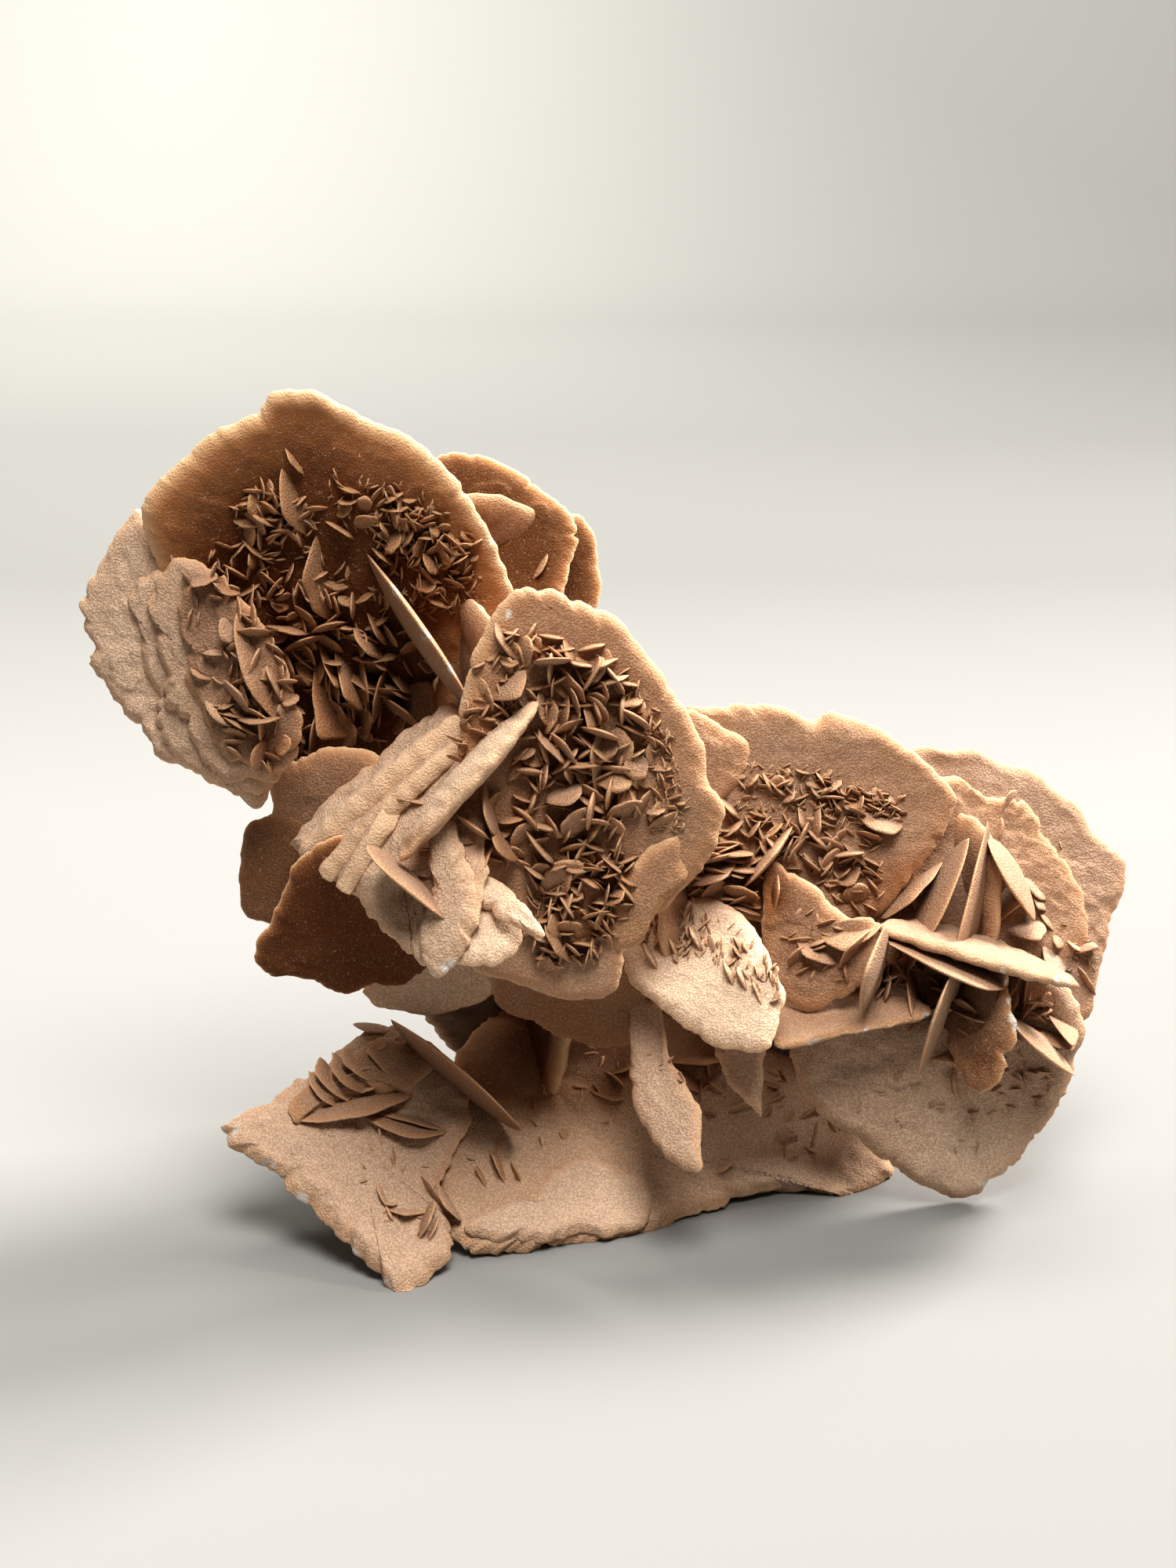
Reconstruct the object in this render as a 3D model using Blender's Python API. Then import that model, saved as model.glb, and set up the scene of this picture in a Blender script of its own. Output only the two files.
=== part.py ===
"""Gypsum sand rose: flat lens-shaped crystals grown through one another, as one solid.

The crystals are laid out on an upright drawing plane, seen from one station point in front of
the object and a little above it. An outline is drawn on that plane, in millimetres right of and
above its middle, and is carried along the lines of sight on to the crystal's own plane. The
crystal's place is then its depth behind the drawing plane and two angles, its turn and its tilt.
Working units are millimetres and degrees; the meshes are made in metres, +Z up.
"""

import bpy
import numpy as np
from math import cos, radians, sin

MM = 0.001

# Driving dimensions.
STATION_DISTANCE = 500.0          # from the eye to the middle of the drawing plane
STATION_ANGLE = 18.0              # how steeply the eye looks down
DRAWING_MIDDLE = (-7.08, -18.61, 98.0)  # the drawing plane's middle, in the object's frame
LONGEST_FACET = 21.0              # a longer side of an outline gets a point at its middle
RIM_SLOPE = 0.9                   # width of a plate's bevelled rim, as a share of its thickness
BLADE_ROOT = 3.0                  # how deep a blade is grown into its host plate
KNIFE_REACH = 14.0                # a blade that reaches further has the knives' rounder rim
BLADE_RIM = ((0.0, 0.0), (0.27, 0.9), (0.73, 0.9), (1.0, 0.0))  # share along, share of rise
KNIFE_RIM = ((0.0, 0.0), (0.2, 0.7), (0.5, 1.0), (0.8, 0.7), (1.0, 0.0))
BLADE_ROOTS = (0.5,)              # shares along at which the rim reaches down into the host
KNIFE_ROOTS = (0.72, 0.28)
PEAK_SHARE = 0.3                  # a blade is thickest this share of rise less root out
REAR_RIM_POINTS = 15
REAR_WAVES = ((3.0, 1.0, 0.07), (5.0, 2.0, 0.04))  # waves around, phases, share of the radius
REAR_PHASE = 0.7                  # a rear plate's waves are turned by this times its name's length
REAR_BLADE_SPREAD = 0.7           # how far from the middle rear blades stand
REAR_BLADE_RISE = 0.55            # their height, as a share of their length
REAR_BLADE_THICKNESS = 2.4
REAR_SEED = 41
GROUND_HALF = 200.0               # half size of the block that trims the soles flat
GROUND_DEPTH = 30.0

GYPSUM_COLOUR = (0.46, 0.27, 0.165, 1.0)
GYPSUM_ROUGHNESS = 0.85

ANGLE = radians(STATION_ANGLE)
RIGHT = np.array((1.0, 0.0, 0.0))
AHEAD = np.array((0.0, cos(ANGLE), -sin(ANGLE)))
UPWARD = np.array((0.0, sin(ANGLE), cos(ANGLE)))
EYE = -STATION_DISTANCE * AHEAD

# Plates: name -> (depth at the middle of the outline, turn, tilt, thickness, outline).
# Turn is to the right and tilt is upwards, away from squarely facing the eye.
PLATES = {
    # Upper left rosette.
    "crown": (0.0, 5, -28, 4.0, (
        (-95, 58), (-89, 66.5), (-80, 74.5), (-70, 79.5), (-66.5, 83.5), (-58, 83.5),
        (-47.5, 78), (-36.5, 73), (-27, 63.5), (-20, 51.5), (-16, 41), (-17.5, 36),
        (-24.5, 30), (-27, 18), (-36, 1), (-54, -4), (-68, 2), (-80, 18), (-89, 40))),
    "cheek": (2.0, -10, -8, 4.0, (
        (-95, 58), (-99, 55), (-102, 50), (-107.5, 40), (-108, 36), (-107, 32),
        (-104.5, 29.5), (-106, 25.5), (-101.5, 19.5), (-93, 8.5), (-89.5, 5), (-80, 0.5),
        (-73.5, -3), (-70, -5), (-66, 2), (-67, 14), (-73, 26), (-81, 40), (-88, 51))),
    "nape": (20.0, -4, 6, 3.4, (
        (-32.5, 69.5), (-23.5, 70), (-15, 66.5), (-9, 62), (-4.5, 58), (-2, 53.5),
        (-3, 48), (-5, 42), (-9, 33), (-22, 28), (-36, 36), (-42, 53), (-39, 63.5))),
    "nape_lower": (27.0, 8, 2, 3.2, (
        (-3.5, 57.5), (0, 55), (2, 50.5), (2.5, 44.5), (2, 37.5), (-2, 28), (-12, 28),
        (-17, 40), (-12, 52))),

    # Central rosette.
    "heart": (-13.0, 12, -8, 4.2, (
        (-16, 41), (-9.5, 41.5), (0, 38.5), (7, 34.5), (13, 27), (20, 17), (24.5, 8.5),
        (25.5, 1), (28, -3), (29, -6), (28, -10.5), (26.5, -15), (21.5, -21),
        (14, -28.5), (1.5, -33.5), (-12, -31.5), (-22, -20), (-26.5, 0), (-27, 17),
        (-23, 31))),
    "chin": (-9.0, 6, -12, 3.6, (
        (6.5, -24), (9, -27), (8, -34), (7, -41.5), (3.5, -45.5), (-6, -45.5),
        (-16.5, -42), (-24.5, -39), (-27, -30), (-18.5, -20), (-5, -18))),
    "prow": (-13.0, -34, 22, 5.0, (
        (-28, 16), (-34, 14.5), (-40, 10), (-48, 2.5), (-54, -2), (-62.5, -12),
        (-62, -14), (-51.5, -22.5), (-45, -29.5), (-36, -38), (-32, -40.5), (-28, -38),
        (-26.5, -34.5), (-22.5, -26), (-22, -10), (-25, 6))),
    "post": (-27.0, -24, 12, 4.2, (
        (-33, -8), (-33.5, -16), (-33, -24), (-36, -34), (-32, -40), (-28, -38),
        (-24, -30), (-24.5, -20), (-26.5, -13), (-29, -8))),
    "spur": (-27.0, -10, 38, 2.6, (
        (-25.5, -20), (-21, -19.5), (-15, -24), (-9, -32), (-14, -31), (-20, -28),
        (-25, -24.5))),
    "shield": (-26.5, 8, 26, 4.0, (
        (-21.5, -25), (-27, -29), (-30.5, -33), (-29.5, -37.5), (-20, -39), (-16, -36.5),
        (-14, -33), (-16, -27))),

    # Plates under and behind the central rosette, on its left.
    "collar": (8.0, -20, -10, 3.6, (
        (-67.5, 1), (-67, -5), (-65, -13), (-54, -17), (-44, -8), (-42, 4), (-52, 8),
        (-63, 5))),
    "ear": (14.0, -18, -12, 3.2, (
        (-70, -7.5), (-73.5, -11.5), (-73.5, -26.5), (-68, -29.5), (-58, -30),
        (-53, -14), (-62, -6))),
    "keel": (6.0, 8, -30, 4.0, (
        (-62.5, -17), (-64.5, -23), (-68, -29.5), (-70.5, -33.5), (-70.5, -37.5),
        (-67.5, -40.5), (-59, -41.5), (-52, -44.5), (-45, -42.5), (-38, -42.5),
        (-33, -38), (-31, -28), (-40, -14), (-53, -11))),
    "keel_lower": (14.0, -5, -20, 3.6, (
        (-48, -43.5), (-45, -47), (-39, -48.5), (-32.5, -49), (-26, -47.5), (-20, -44.5),
        (-15, -40), (-18, -30), (-35, -30), (-46, -36))),
    "arch": (14.0, 4, -30, 3.4, (
        (-20, -45.5), (-12.5, -50.5), (-3, -54.5), (5.5, -56), (13, -52), (12, -38),
        (-4, -34), (-18, -36))),

    # Right-hand rosettes.
    "wing": (18.0, 10, 2, 4.0, (
        (20.5, 15.5), (24.5, 16.5), (35, 17), (42, 16.5), (47.5, 13.5), (51.5, 15.5),
        (59.5, 13), (65, 10), (72, 4.5), (77.5, -1.5), (78.5, -4), (75.5, -10.5),
        (73.5, -14), (66.5, -22.5), (61.5, -28.5), (50, -31.5), (35, -29), (22, -25),
        (13.5, -10), (14, 6))),
    "tail": (34.0, 14, 12, 4.0, (
        (69.5, 7.5), (76, 7.5), (82, 7), (88.5, 4.5), (95.5, 2), (100.5, -2),
        (104.5, -5.5), (108, -11), (111.5, -14), (114.5, -17), (113.5, -23),
        (111.5, -28.5), (110, -34.5), (107.5, -45), (103.5, -51.5), (84, -52),
        (64, -38.5), (58, -14), (62, 1.5))),
    "fan": (22.0, 8, -10, 4.2, (
        (105.5, -51), (103.5, -58.5), (101.5, -66), (97, -72.5), (90, -81.5),
        (85, -84.5), (83.5, -87), (78.5, -88), (72.5, -86), (64, -81), (56.5, -75),
        (50.5, -71), (45.5, -66), (44, -60.5), (43.5, -55), (50, -47), (63.5, -38),
        (85, -36), (101, -42))),
    "gable": (8.0, -14, 6, 3.2, (
        (38, -17.5), (41.5, -17.5), (48.5, -22), (55, -28), (61, -29.5), (60, -41),
        (48, -48), (40, -44), (37, -33))),
    "shelf": (6.0, -4, 60, 1.9, (
        (39.5, -55.5), (51.5, -54), (63.5, -51.5), (72.5, -49.5), (70, -46),
        (56, -44.5), (42, -45.5))),
    "curtain": (8.0, -42, 6, 2.6, (
        (87.5, -38), (89.5, -43), (91, -52.5), (89.5, -57.5), (86, -65.5), (82, -65),
        (78, -59), (76, -50), (80, -42))),
    "apron": (-1.0, -16, 30, 4.2, (
        (8.5, -41.5), (11.5, -44.5), (18.5, -50), (23.5, -54), (27.5, -56),
        (35.5, -57), (38.5, -56), (40, -53), (42, -46), (39, -38), (35, -30),
        (25, -24), (14, -28), (8, -35))),
    "tongue": (4.0, -26, 20, 3.0, (
        (9.5, -45.5), (9, -60), (9.5, -67.5), (13, -75), (17, -79.5), (21.5, -82.5),
        (24, -81.5), (24, -70.5), (22.5, -66.5), (17, -57), (15, -47))),
    "tooth": (5.0, 12, 14, 2.8, (
        (28, -52), (33, -44), (40, -41), (38.5, -52), (37, -64.5), (37, -71), (34.5, -68.5),
        (30, -63.5), (27, -57))),

    # The base that the cluster rests on.
    "heel": (10.0, 8, 36, 4.6, (
        (-78, -73), (-75, -71), (-68.5, -68), (-66, -65.5), (-59, -61.5),
        (-54.5, -58.5), (-51, -55), (-47.5, -52.5), (-41.5, -51.5), (-31.5, -56.5),
        (-25, -68), (-26.5, -75), (-29.5, -81), (-31.5, -87.5), (-29, -95),
        (-31, -103), (-36, -107.5), (-40, -109.5), (-43.5, -106), (-48.5, -100.5),
        (-55, -95), (-62, -87.5), (-69, -81.5), (-76, -76.5))),
    "sole": (28.0, 16, 38, 4.6, (
        (-27, -98.5), (-15, -99.5), (-5, -98), (6.5, -97), (13, -95.5), (21, -92.5),
        (28.5, -89.5), (36, -87), (43.5, -86), (50, -87), (56.5, -88.5), (62.5, -84.5),
        (64.5, -81), (56, -66), (38, -56), (16.5, -49), (-8.5, -47), (-25, -53),
        (-31, -70), (-32, -87))),
}

# Ledges: plates that lie parallel to a host plate, lifted off it towards the eye: name ->
# (host, lift, thickness, outline).
LEDGES = {
    "cheek_ledge": ("cheek", 2.2, 3.0, (
        (-91.3, 45.2), (-96, 42.5), (-97.2, 38.5), (-95, 32.2), (-95, 27.8), (-93.5, 22.5),
        (-91, 18.7), (-92, 14.5), (-88.5, 7), (-81, 1), (-72, -2), (-63, 4), (-64, 16),
        (-68, 28), (-80, 42))),
    "cheek_scale": ("cheek", 4.4, 3.0, (
        (-87.3, 48.2), (-90.8, 44.3), (-93.2, 38.2), (-91.7, 33.8), (-92, 29.5), (-90, 25),
        (-90, 17.7), (-86, 14), (-83.5, 8), (-79, 2), (-70, 1), (-62, 6), (-63, 18),
        (-68, 30), (-78, 44))),
    "cheek_crest": ("cheek", 6.4, 2.8, (
        (-84.5, 43), (-87, 36), (-85.3, 28.5), (-86, 23), (-83, 18), (-81, 12),
        (-76, 5), (-68, 5), (-61, 10), (-63, 22), (-68, 32), (-76, 42))),
    "heart_flap": ("heart", 1.8, 3.0, (
        (18, -11), (20, -16), (21, -20), (14, -27.5), (11, -34), (4, -34), (6.5, -20))),
    "wing_scale": ("wing", 2.2, 2.8, (
        (20.5, 15.5), (26, 14), (29, 11.5), (34, 9.5), (34, 4), (28, -4), (20, -6),
        (15, 4))),
    "tail_scale": ("tail", 2.2, 2.8, (
        (72, 0), (78, 1.5), (84, -2), (93, -4), (98, -12), (104, -21), (106, -32),
        (98, -40), (82, -36), (68, -24), (66, -10))),
    "heel_ledge": ("heel", 2.6, 3.2, (
        (-62, -72), (-55, -68), (-48.5, -66), (-37.5, -65), (-33, -58), (-42, -54),
        (-48, -56), (-56, -62), (-63, -67))),
    "sole_lobe": ("sole", 2.4, 3.0, (
        (-26, -95), (-22, -91), (-13.5, -89.5), (-10, -85), (-7, -82), (-3, -80),
        (1.5, -80), (7.5, -82), (12, -84), (13.5, -92), (10, -95), (-4, -96.5),
        (-16, -97.5))),
}

# Knives: big blades seen nearly on edge: (tip right, up, depth, other tip right, up, depth,
# rise towards the eye, root away from it, roll, thickness).
KNIVES = {
    "crown_knife": (-47, 49, -4, -24, 15.5, -9, 10, 16, -6, 3.2),
    "crown_leaf": (-75, 39, -4, -64, 10, 0, 7, 14, 14, 2.6),
    "beam": (-10.5, 17.5, -24, -40, -16.5, -28, 7, 8, -12, 5.2),
    "prow_slab": (-61, -16, -0.5, -26.5, 13.5, -10.5, 3, 8, 0, 6.0),
    "prow_slab_inner": (-56.5, -20, -8, -27.5, 8, -13.5, 3, 8, 0, 5.2),
    "prow_slab_short": (-52.3, -23, -12.5, -40.5, -4, -12, 3, 8, 0, 5.0),
    "prow_knife": (-46, -13, -22, -30, -29, -30, 10, 8, 12, 2.4),
    "lintel": (62, -31, 4, 104.5, -43, 10, 9, 18, 11, 4.0),
    "lintel_lower": (64, -34, 2, 89, -43, 8, 10, 14, 13, 2.8),
    "sail": (68, -40, 11, 81, -11.5, 16, 7, 13, 18, 2.4),
    "sail_inner": (77, -43, 8, 85, -8, 16, 7, 16, -9, 2.4),
    "stave": (85, -12, 16, 95, -29, 18, 6, 12, 12, 2.6),
    "fan_knife": (77.5, -40, 0, 70, -62.5, 6, 8, 14, 5, 2.4),
    "gable_knife": (63, -30.5, -2, 58, -49, 0, 9, 13, 8, 2.8),
    "wing_knife": (33, -22, 10, 43.5, -9, 12, 6, 8, 6, 2.4),
    "low_knife": (-42, -50, 16, -14, -73.5, 10, 8, 16, -9, 2.6),
    "side_knife": (90, -50.5, 8, 103.5, -62, 10, 6, 12, 8, 2.8),
}

# Oval plates that fill the cluster's inside and finish its rear: name -> (centre right, ahead
# and up of the drawing plane's middle, yaw from facing the front, pitch upwards, half width,
# half height, thickness).
REAR_PLATES = {
    "back_crown": (-33, 38, 30, 20, -24, 33, 31, 4.0),
    "back_heart": (4, 40, -20, -30, 12, 34, 29, 4.0),
    "back_wing": (64, 42, -40, 28, -14, 38, 30, 4.0),
    "spine": (-12, 28, -38, -72, 4, 32, 46, 4.0),
    "upper_spine": (-22, 14, 12, -66, -6, 26, 26, 4.0),
    "rib": (30, 20, -30, 62, 12, 32, 27, 4.0),
    "far_rib": (80, 26, -44, -64, 6, 24, 30, 3.6),
    "back_foot": (-10, 48, -72, 12, -50, 30, 42, 4.2),
    "back_foot_right": (46, 38, -74, -24, -40, 32, 36, 4.2),
}

# Blades that stand on a host plate: (tip right, up, other tip right, up, rise, roll, thickness).
# A blade springs from the line between its tips towards the eye; roll turns it about that line.
BLADES = {
    "crown": (
        (-64.5, 72.5, -59, 65.5, 4, 22, 1.6), (-64.5, 68.5, -58.5, 52.5, 7, 40, 2.0),
        (-56.5, 55, -53, 34, 9, 38, 2.2), (-40, 64, -39.5, 55, 6, 9, 2.0),
        (-46.5, 59, -37, 58.5, 6, 4, 1.6), (-42, 56.5, -34, 54, 7, -9, 1.6),
        (-32.5, 54.5, -26, 47.5, 6, -11, 1.6), (-61.5, 58, -54, 58.5, 5, -7, 1.6),
        (-57.5, 57, -49, 52, 6, 9, 1.6), (-47.5, 52, -41, 47, 6, 9, 1.6),
        (-74.5, 53.5, -65, 46.5, 4, 16, 1.8), (-70, 34, -58, 32, 10, 7, 2.0),
        (-60, 31, -50, 34.5, 11, -4, 2.0), (-57.5, 31, -51, 22, 11, 14, 2.0),
        (-54, 30, -46, 17, 12, 22, 2.0), (-58, 28, -46, 13, 14, 45, 2.4),
        (-47.5, 38, -42.5, 30, 8, 11, 1.8), (-36, 42, -29, 38, 6, 14, 1.6),
        (-38, 48, -33, 40, 6, -14, 1.6),
        (-62, 44, -57, 38, 7, 14, 1.8), (-52, 14, -62, 9, 8, 18, 2.0),
        (-44, 26, -37, 20, 9, 9, 1.8),
    ),
    "cheek": (
        (-87, 51.5, -85.5, 44, 5, 27, 1.8), (-84.5, 29, -72, 23, 10, 26, 2.2),
        (-81.5, 24, -65, 9.5, 11, 34, 2.4), (-83, 35, -76, 32, 6, 11, 1.8),
    ),
    "nape": (
        (-8.5, 51, -12.5, 43, 4, -18, 1.8),
    ),
    "heart": (
        (-19.5, 35, -14.5, 26, 6, 18, 2.0), (-15, 31, -9.5, 28, 5, 9, 1.6),
        (-5.5, 33, -1, 24, 6, 18, 1.8), (-4, 28, 4, 30, 6, 4, 1.6),
        (-2.5, 22.5, 7, 27, 8, 4, 2.0), (-1.5, 19.5, 9, 23.5, 8, 7, 1.8),
        (-8, 26, -0.5, 14.5, 8, -20, 2.0), (-10, 22, -7, 12, 7, 20, 2.0),
        (-4.5, 20.5, -6.5, 11, 7, -14, 1.8), (-0.5, 20, 3.5, 9.5, 8, 16, 2.0),
        (-22, 18, -14, 26, 10, 26, 2.4), (-12, 12, -3, 3.5, 9, 9, 2.0),
        (-9, 9, 0, 13.5, 9, -7, 2.0), (-3.5, 12, 6, 5, 9, 11, 2.0), (4, 14, 3, -5, 9, 20, 2.2),
        (-4, 8.5, -1.5, -1.5, 8, 14, 1.8), (5, 13.5, 13.5, 9.5, 6, 4, 1.8),
        (8.5, 7.5, 11.5, -1.5, 6, 18, 1.8), (14, 2, 16.5, -6, 4, 22, 1.8),
        (-4.5, -0.5, 4.5, -6, 8, 9, 1.8), (10, -8, 14.5, -0.5, 6, -16, 1.8),
        (11.5, -11, 21, -6, 5, -25, 2.0), (-6, -13, -3.5, -6, 7, 9, 1.8),
        (-14, -8.5, -6, -10, 8, 4, 1.8), (-15, -16, -8, -20, 8, 7, 1.8),
        (-8, -15, 0, -14, 7, -9, 1.8), (-5, -18, 3, -22, 7, 9, 1.8),
        (-9, -27, -3, -38, 8, 18, 2.2), (-2, -25, 7, -28, 6, 7, 1.8),
        (3, -14, 9, -22, 5, 14, 1.8),
        (-22, -4, -14, -15.5, 12, 14, 2.2), (-22, 2, -18, -11, 12, 9, 2.2),
        (-30, -5, -20.5, -12, 12, -2, 2.0), (-26, -20.5, -20, -11, 11, 9, 2.0),
    ),
    "prow": (
        (-38.7, -2.5, -31.7, -4.8, 6, 9, 1.6),
    ),
    "wing": (
        (45, -3.5, 47, -11, 6, 14, 1.8), (49, -3, 47.5, -13, 7, -16, 1.8),
        (54, -4, 67.5, -8, 8, 31, 2.2), (47.5, -2.5, 53.5, 1.5, 5, 20, 1.8),
        (27, -2, 33, -8, 7, 7, 1.8), (38, 2, 43, -3, 5, 9, 1.6), (54, -12, 60, -18, 6, 9, 1.8),
        (56, -10, 63, -12, 6, -9, 1.6), (36, -9, 40, -16, 7, 14, 1.8),
        (22, -17, 30, -20, 9, -4, 1.8),
    ),
    "tail": (
        (86, -14, 87, -6.5, 6, 14, 1.8), (87.5, -10, 92, -2, 7, -18, 1.8),
        (94, -24, 101, -33, 6, 11, 2.0), (100, -31, 107, -36, 6, 9, 1.8),
        (103, -38, 108, -45, 5, -14, 1.8),
    ),
    "gable": (
        (40, -19, 39.5, -28, 5, -14, 2.0), (61, -30.5, 53, -40, 8, 9, 2.4),
        (49, -31, 62.5, -30, 8, 32, 2.2), (44, -32, 55, -38, 6, 32, 2.2),
    ),
    "fan": (
        (68, -37, 72, -50, 14, 11, 2.2), (75, -47, 87, -50, 14, 4, 1.8),
        (71, -58, 84.5, -55, 9, 25, 2.0), (78, -58, 79, -66.5, 6, 9, 1.8),
        (91, -50, 104, -54.5, 11, 14, 2.2),
    ),
    "apron": (
        (12, -33, 16, -41, 5, 9, 2.0), (17, -31, 20, -39, 5, 11, 1.8),
        (22, -30, 25, -37, 5, 7, 1.8), (29, -37, 32, -45, 5, 9, 1.8),
        (32, -38, 35, -46, 5, 7, 1.8), (35, -41, 38, -49, 4, 9, 1.8),
    ),
    "sole": (
        (16, -59, 28.5, -57.5, 14, 9, 1.8), (20, -60, 26, -66, 12, 18, 1.8),
        (-2, -63, 10, -66, 8, 14, 2.0),
    ),
    "heel": (
        (-48, -69.5, -28.5, -74, 6, 9, 2.0), (-43.5, -72, -43.5, -79, 4, 14, 1.6),
        (-42.5, -89, -39, -95.5, 4, 9, 1.6), (-41, -76, -40, -85, 4, 14, 1.4),
        (-31.5, -90, -36, -100, 4, -9, 1.6), (-58, -67, -42, -60, 6, -14, 2.0),
        (-50, -58, -40, -53, 6, 9, 1.8), (-50, -51, -41, -52.5, 5, 14, 2.0),
    ),
}

# Blades that stand on the rear faces: host -> (count, shortest, longest), spread by a seed.
REAR_BLADES = {
    "back_crown": (9, 8, 15),
    "back_heart": (7, 8, 14),
    "back_wing": (9, 8, 15),
    "back_foot": (4, 7, 12),
}


def unit(vector):
    """The vector at length 1."""
    return vector / np.linalg.norm(vector)


def facing(turn, tilt):
    """Normal of a plane turned right and tilted up from squarely facing the eye."""
    turn, tilt = radians(turn), radians(tilt)
    level = RIGHT * sin(turn) - AHEAD * cos(turn)
    return level * cos(tilt) + UPWARD * sin(tilt)


def at_depth(right, up, depth):
    """The spot on a line of sight at a depth behind the drawing plane."""
    return EYE + (right * RIGHT + up * UPWARD - EYE) * (1.0 + depth / STATION_DISTANCE)


def plane_of(name):
    """A point and the normal of the plane that a plate or a ledge lies in."""
    if name in LEDGES:
        host, lift = LEDGES[name][:2]
        place, normal = plane_of(host)
        return place + lift * normal, normal
    depth, turn, tilt, _, outline = PLATES[name]
    right, up = np.mean(outline, axis=0)
    return at_depth(right, up, depth), facing(turn, tilt)


def carried(points, plane):
    """Points of the drawing plane, carried along the lines of sight on to a plane."""
    place, normal = plane
    points = np.asarray(points, dtype=float)
    sight = points[:, :1] * RIGHT + points[:, 1:] * UPWARD - EYE
    reach = (place - EYE) @ normal / (sight @ normal)
    return EYE + sight * reach[:, None]


def rounded(outline):
    """The outline's points, with a point on a smooth curve in the middle of each long side."""
    points = np.asarray(outline, dtype=float)
    before, after, beyond = (np.roll(points, shift, axis=0) for shift in (1, -1, -2))
    middles = (9.0 * (points + after) - before - beyond) / 16.0
    long_sides = np.linalg.norm(after - points, axis=1) > LONGEST_FACET
    pairs = zip(points, middles, long_sides)
    return np.array([spot for point, middle, long in pairs
                     for spot in ((point, middle) if long else (point,))])


class Growth:
    """Collects the crystals' closed shells as one list of vertices and faces."""

    def __init__(self):
        self.vertices = []
        self.faces = []

    def add(self, vertices, faces):
        start = len(self.vertices)
        self.vertices.extend(np.asarray(vertices) + DRAWING_MIDDLE)
        self.faces.extend([tuple(start + i for i in face) for face in faces])

    def plate(self, rim, normal, thickness):
        """A flat plate: its rim is a sharp edge, bevelled down from two flat faces."""
        count = len(rim)
        middle = rim.mean(axis=0)
        spokes = rim - middle
        inset = RIM_SLOPE * thickness / np.linalg.norm(spokes, axis=1)
        inner = middle + spokes * (1.0 - inset)[:, None]
        offset = normal * thickness / 2.0
        order = range(count)
        if np.cross(spokes, np.roll(spokes, -1, axis=0)).sum(axis=0) @ normal < 0.0:
            order = range(count - 1, -1, -1)
        ring = list(order)
        following = ring[1:] + ring[:1]
        faces = [tuple(count + i for i in ring), tuple(2 * count + i for i in reversed(ring))]
        for i, j in zip(ring, following):
            faces.append((i, j, count + j, count + i))
            faces.append((j, i, 2 * count + i, 2 * count + j))
        self.add(np.vstack((rim, inner + offset, inner - offset)), faces)

    def blade(self, start, end, outward, rise, root, thickness):
        """A faceted lens: its rim curves round the line of its tips, and it is thickest inside."""
        along = end - start
        side = unit(np.cross(along, outward))
        outward = unit(np.cross(side, along))
        is_knife = rise + root > KNIFE_REACH
        outer, roots = (KNIFE_RIM, KNIFE_ROOTS) if is_knife else (BLADE_RIM, BLADE_ROOTS)
        shares = np.array([share for share, _ in outer] + list(roots))
        heights = np.array([height * rise for _, height in outer] + [-root] * len(roots))
        rim = start + shares[:, None] * along + heights[:, None] * outward
        middle = start + along / 2.0 + outward * (rise - root) * PEAK_SHARE
        peaks = (middle + side * thickness / 2.0, middle - side * thickness / 2.0)
        count = len(rim)
        faces = []
        for i in range(count):
            j = (i + 1) % count
            faces.append((j, i, count))
            faces.append((i, j, count + 1))
        self.add(np.vstack((rim, peaks)), faces)


def rear_frame(name):
    """Middle, sideways and upwards directions, normal and sizes of a rear plate."""
    right, ahead, up, yaw, pitch, half_width, half_height, thickness = REAR_PLATES[name]
    yaw, pitch = radians(yaw), radians(pitch)
    sideways = np.array((cos(yaw), sin(yaw), 0.0))
    normal = np.array((sin(yaw) * cos(pitch), -cos(yaw) * cos(pitch), sin(pitch)))
    upwards = np.cross(normal, sideways)
    if upwards[2] < 0.0:
        upwards = -upwards
    return np.array((right, ahead, up)), sideways, upwards, normal, half_width, half_height, thickness


def rear_rim(name):
    """Rim of an oval plate: an ellipse whose radius swells and shrinks in low waves."""
    middle, sideways, upwards, _, half_width, half_height, _ = rear_frame(name)
    phase = REAR_PHASE * len(name)
    around = np.linspace(0.0, 2.0 * np.pi, REAR_RIM_POINTS, endpoint=False)
    waves = 1.0 + sum(high * np.sin(count * around + phases * phase)
                      for count, phases, high in REAR_WAVES)
    across = half_width * waves * np.cos(around)
    high = half_height * waves * np.sin(around)
    return middle + across[:, None] * sideways + high[:, None] * upwards


def outward_from(start, end, roll):
    """The way a blade springs from the line of its tips: to the eye, rolled about that line."""
    along = unit(end - start)
    to_eye = EYE - (start + end) / 2.0
    to_eye = unit(to_eye - along * (to_eye @ along))
    return to_eye * cos(radians(roll)) + np.cross(along, to_eye) * sin(radians(roll))


def grow_front(growth):
    """The plates, ledges, knives and blades that are drawn one by one."""
    for name, (*_, thickness, outline) in (PLATES | LEDGES).items():
        plane = plane_of(name)
        growth.plate(carried(rounded(outline), plane), plane[1], thickness)
    for knife in KNIVES.values():
        start, end = at_depth(*knife[0:3]), at_depth(*knife[3:6])
        rise, root, roll, thickness = knife[6:]
        growth.blade(start, end, outward_from(start, end, roll), rise, root, thickness)
    for host, blades in BLADES.items():
        for *tips, rise, roll, thickness in blades:
            start, end = carried((tips[:2], tips[2:]), plane_of(host))
            outward = outward_from(start, end, roll)
            growth.blade(start, end, outward, rise, BLADE_ROOT, thickness)


def grow_oval(growth, name):
    """One oval plate."""
    _, _, _, normal, _, _, thickness = rear_frame(name)
    growth.plate(rear_rim(name), normal, thickness)


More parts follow.
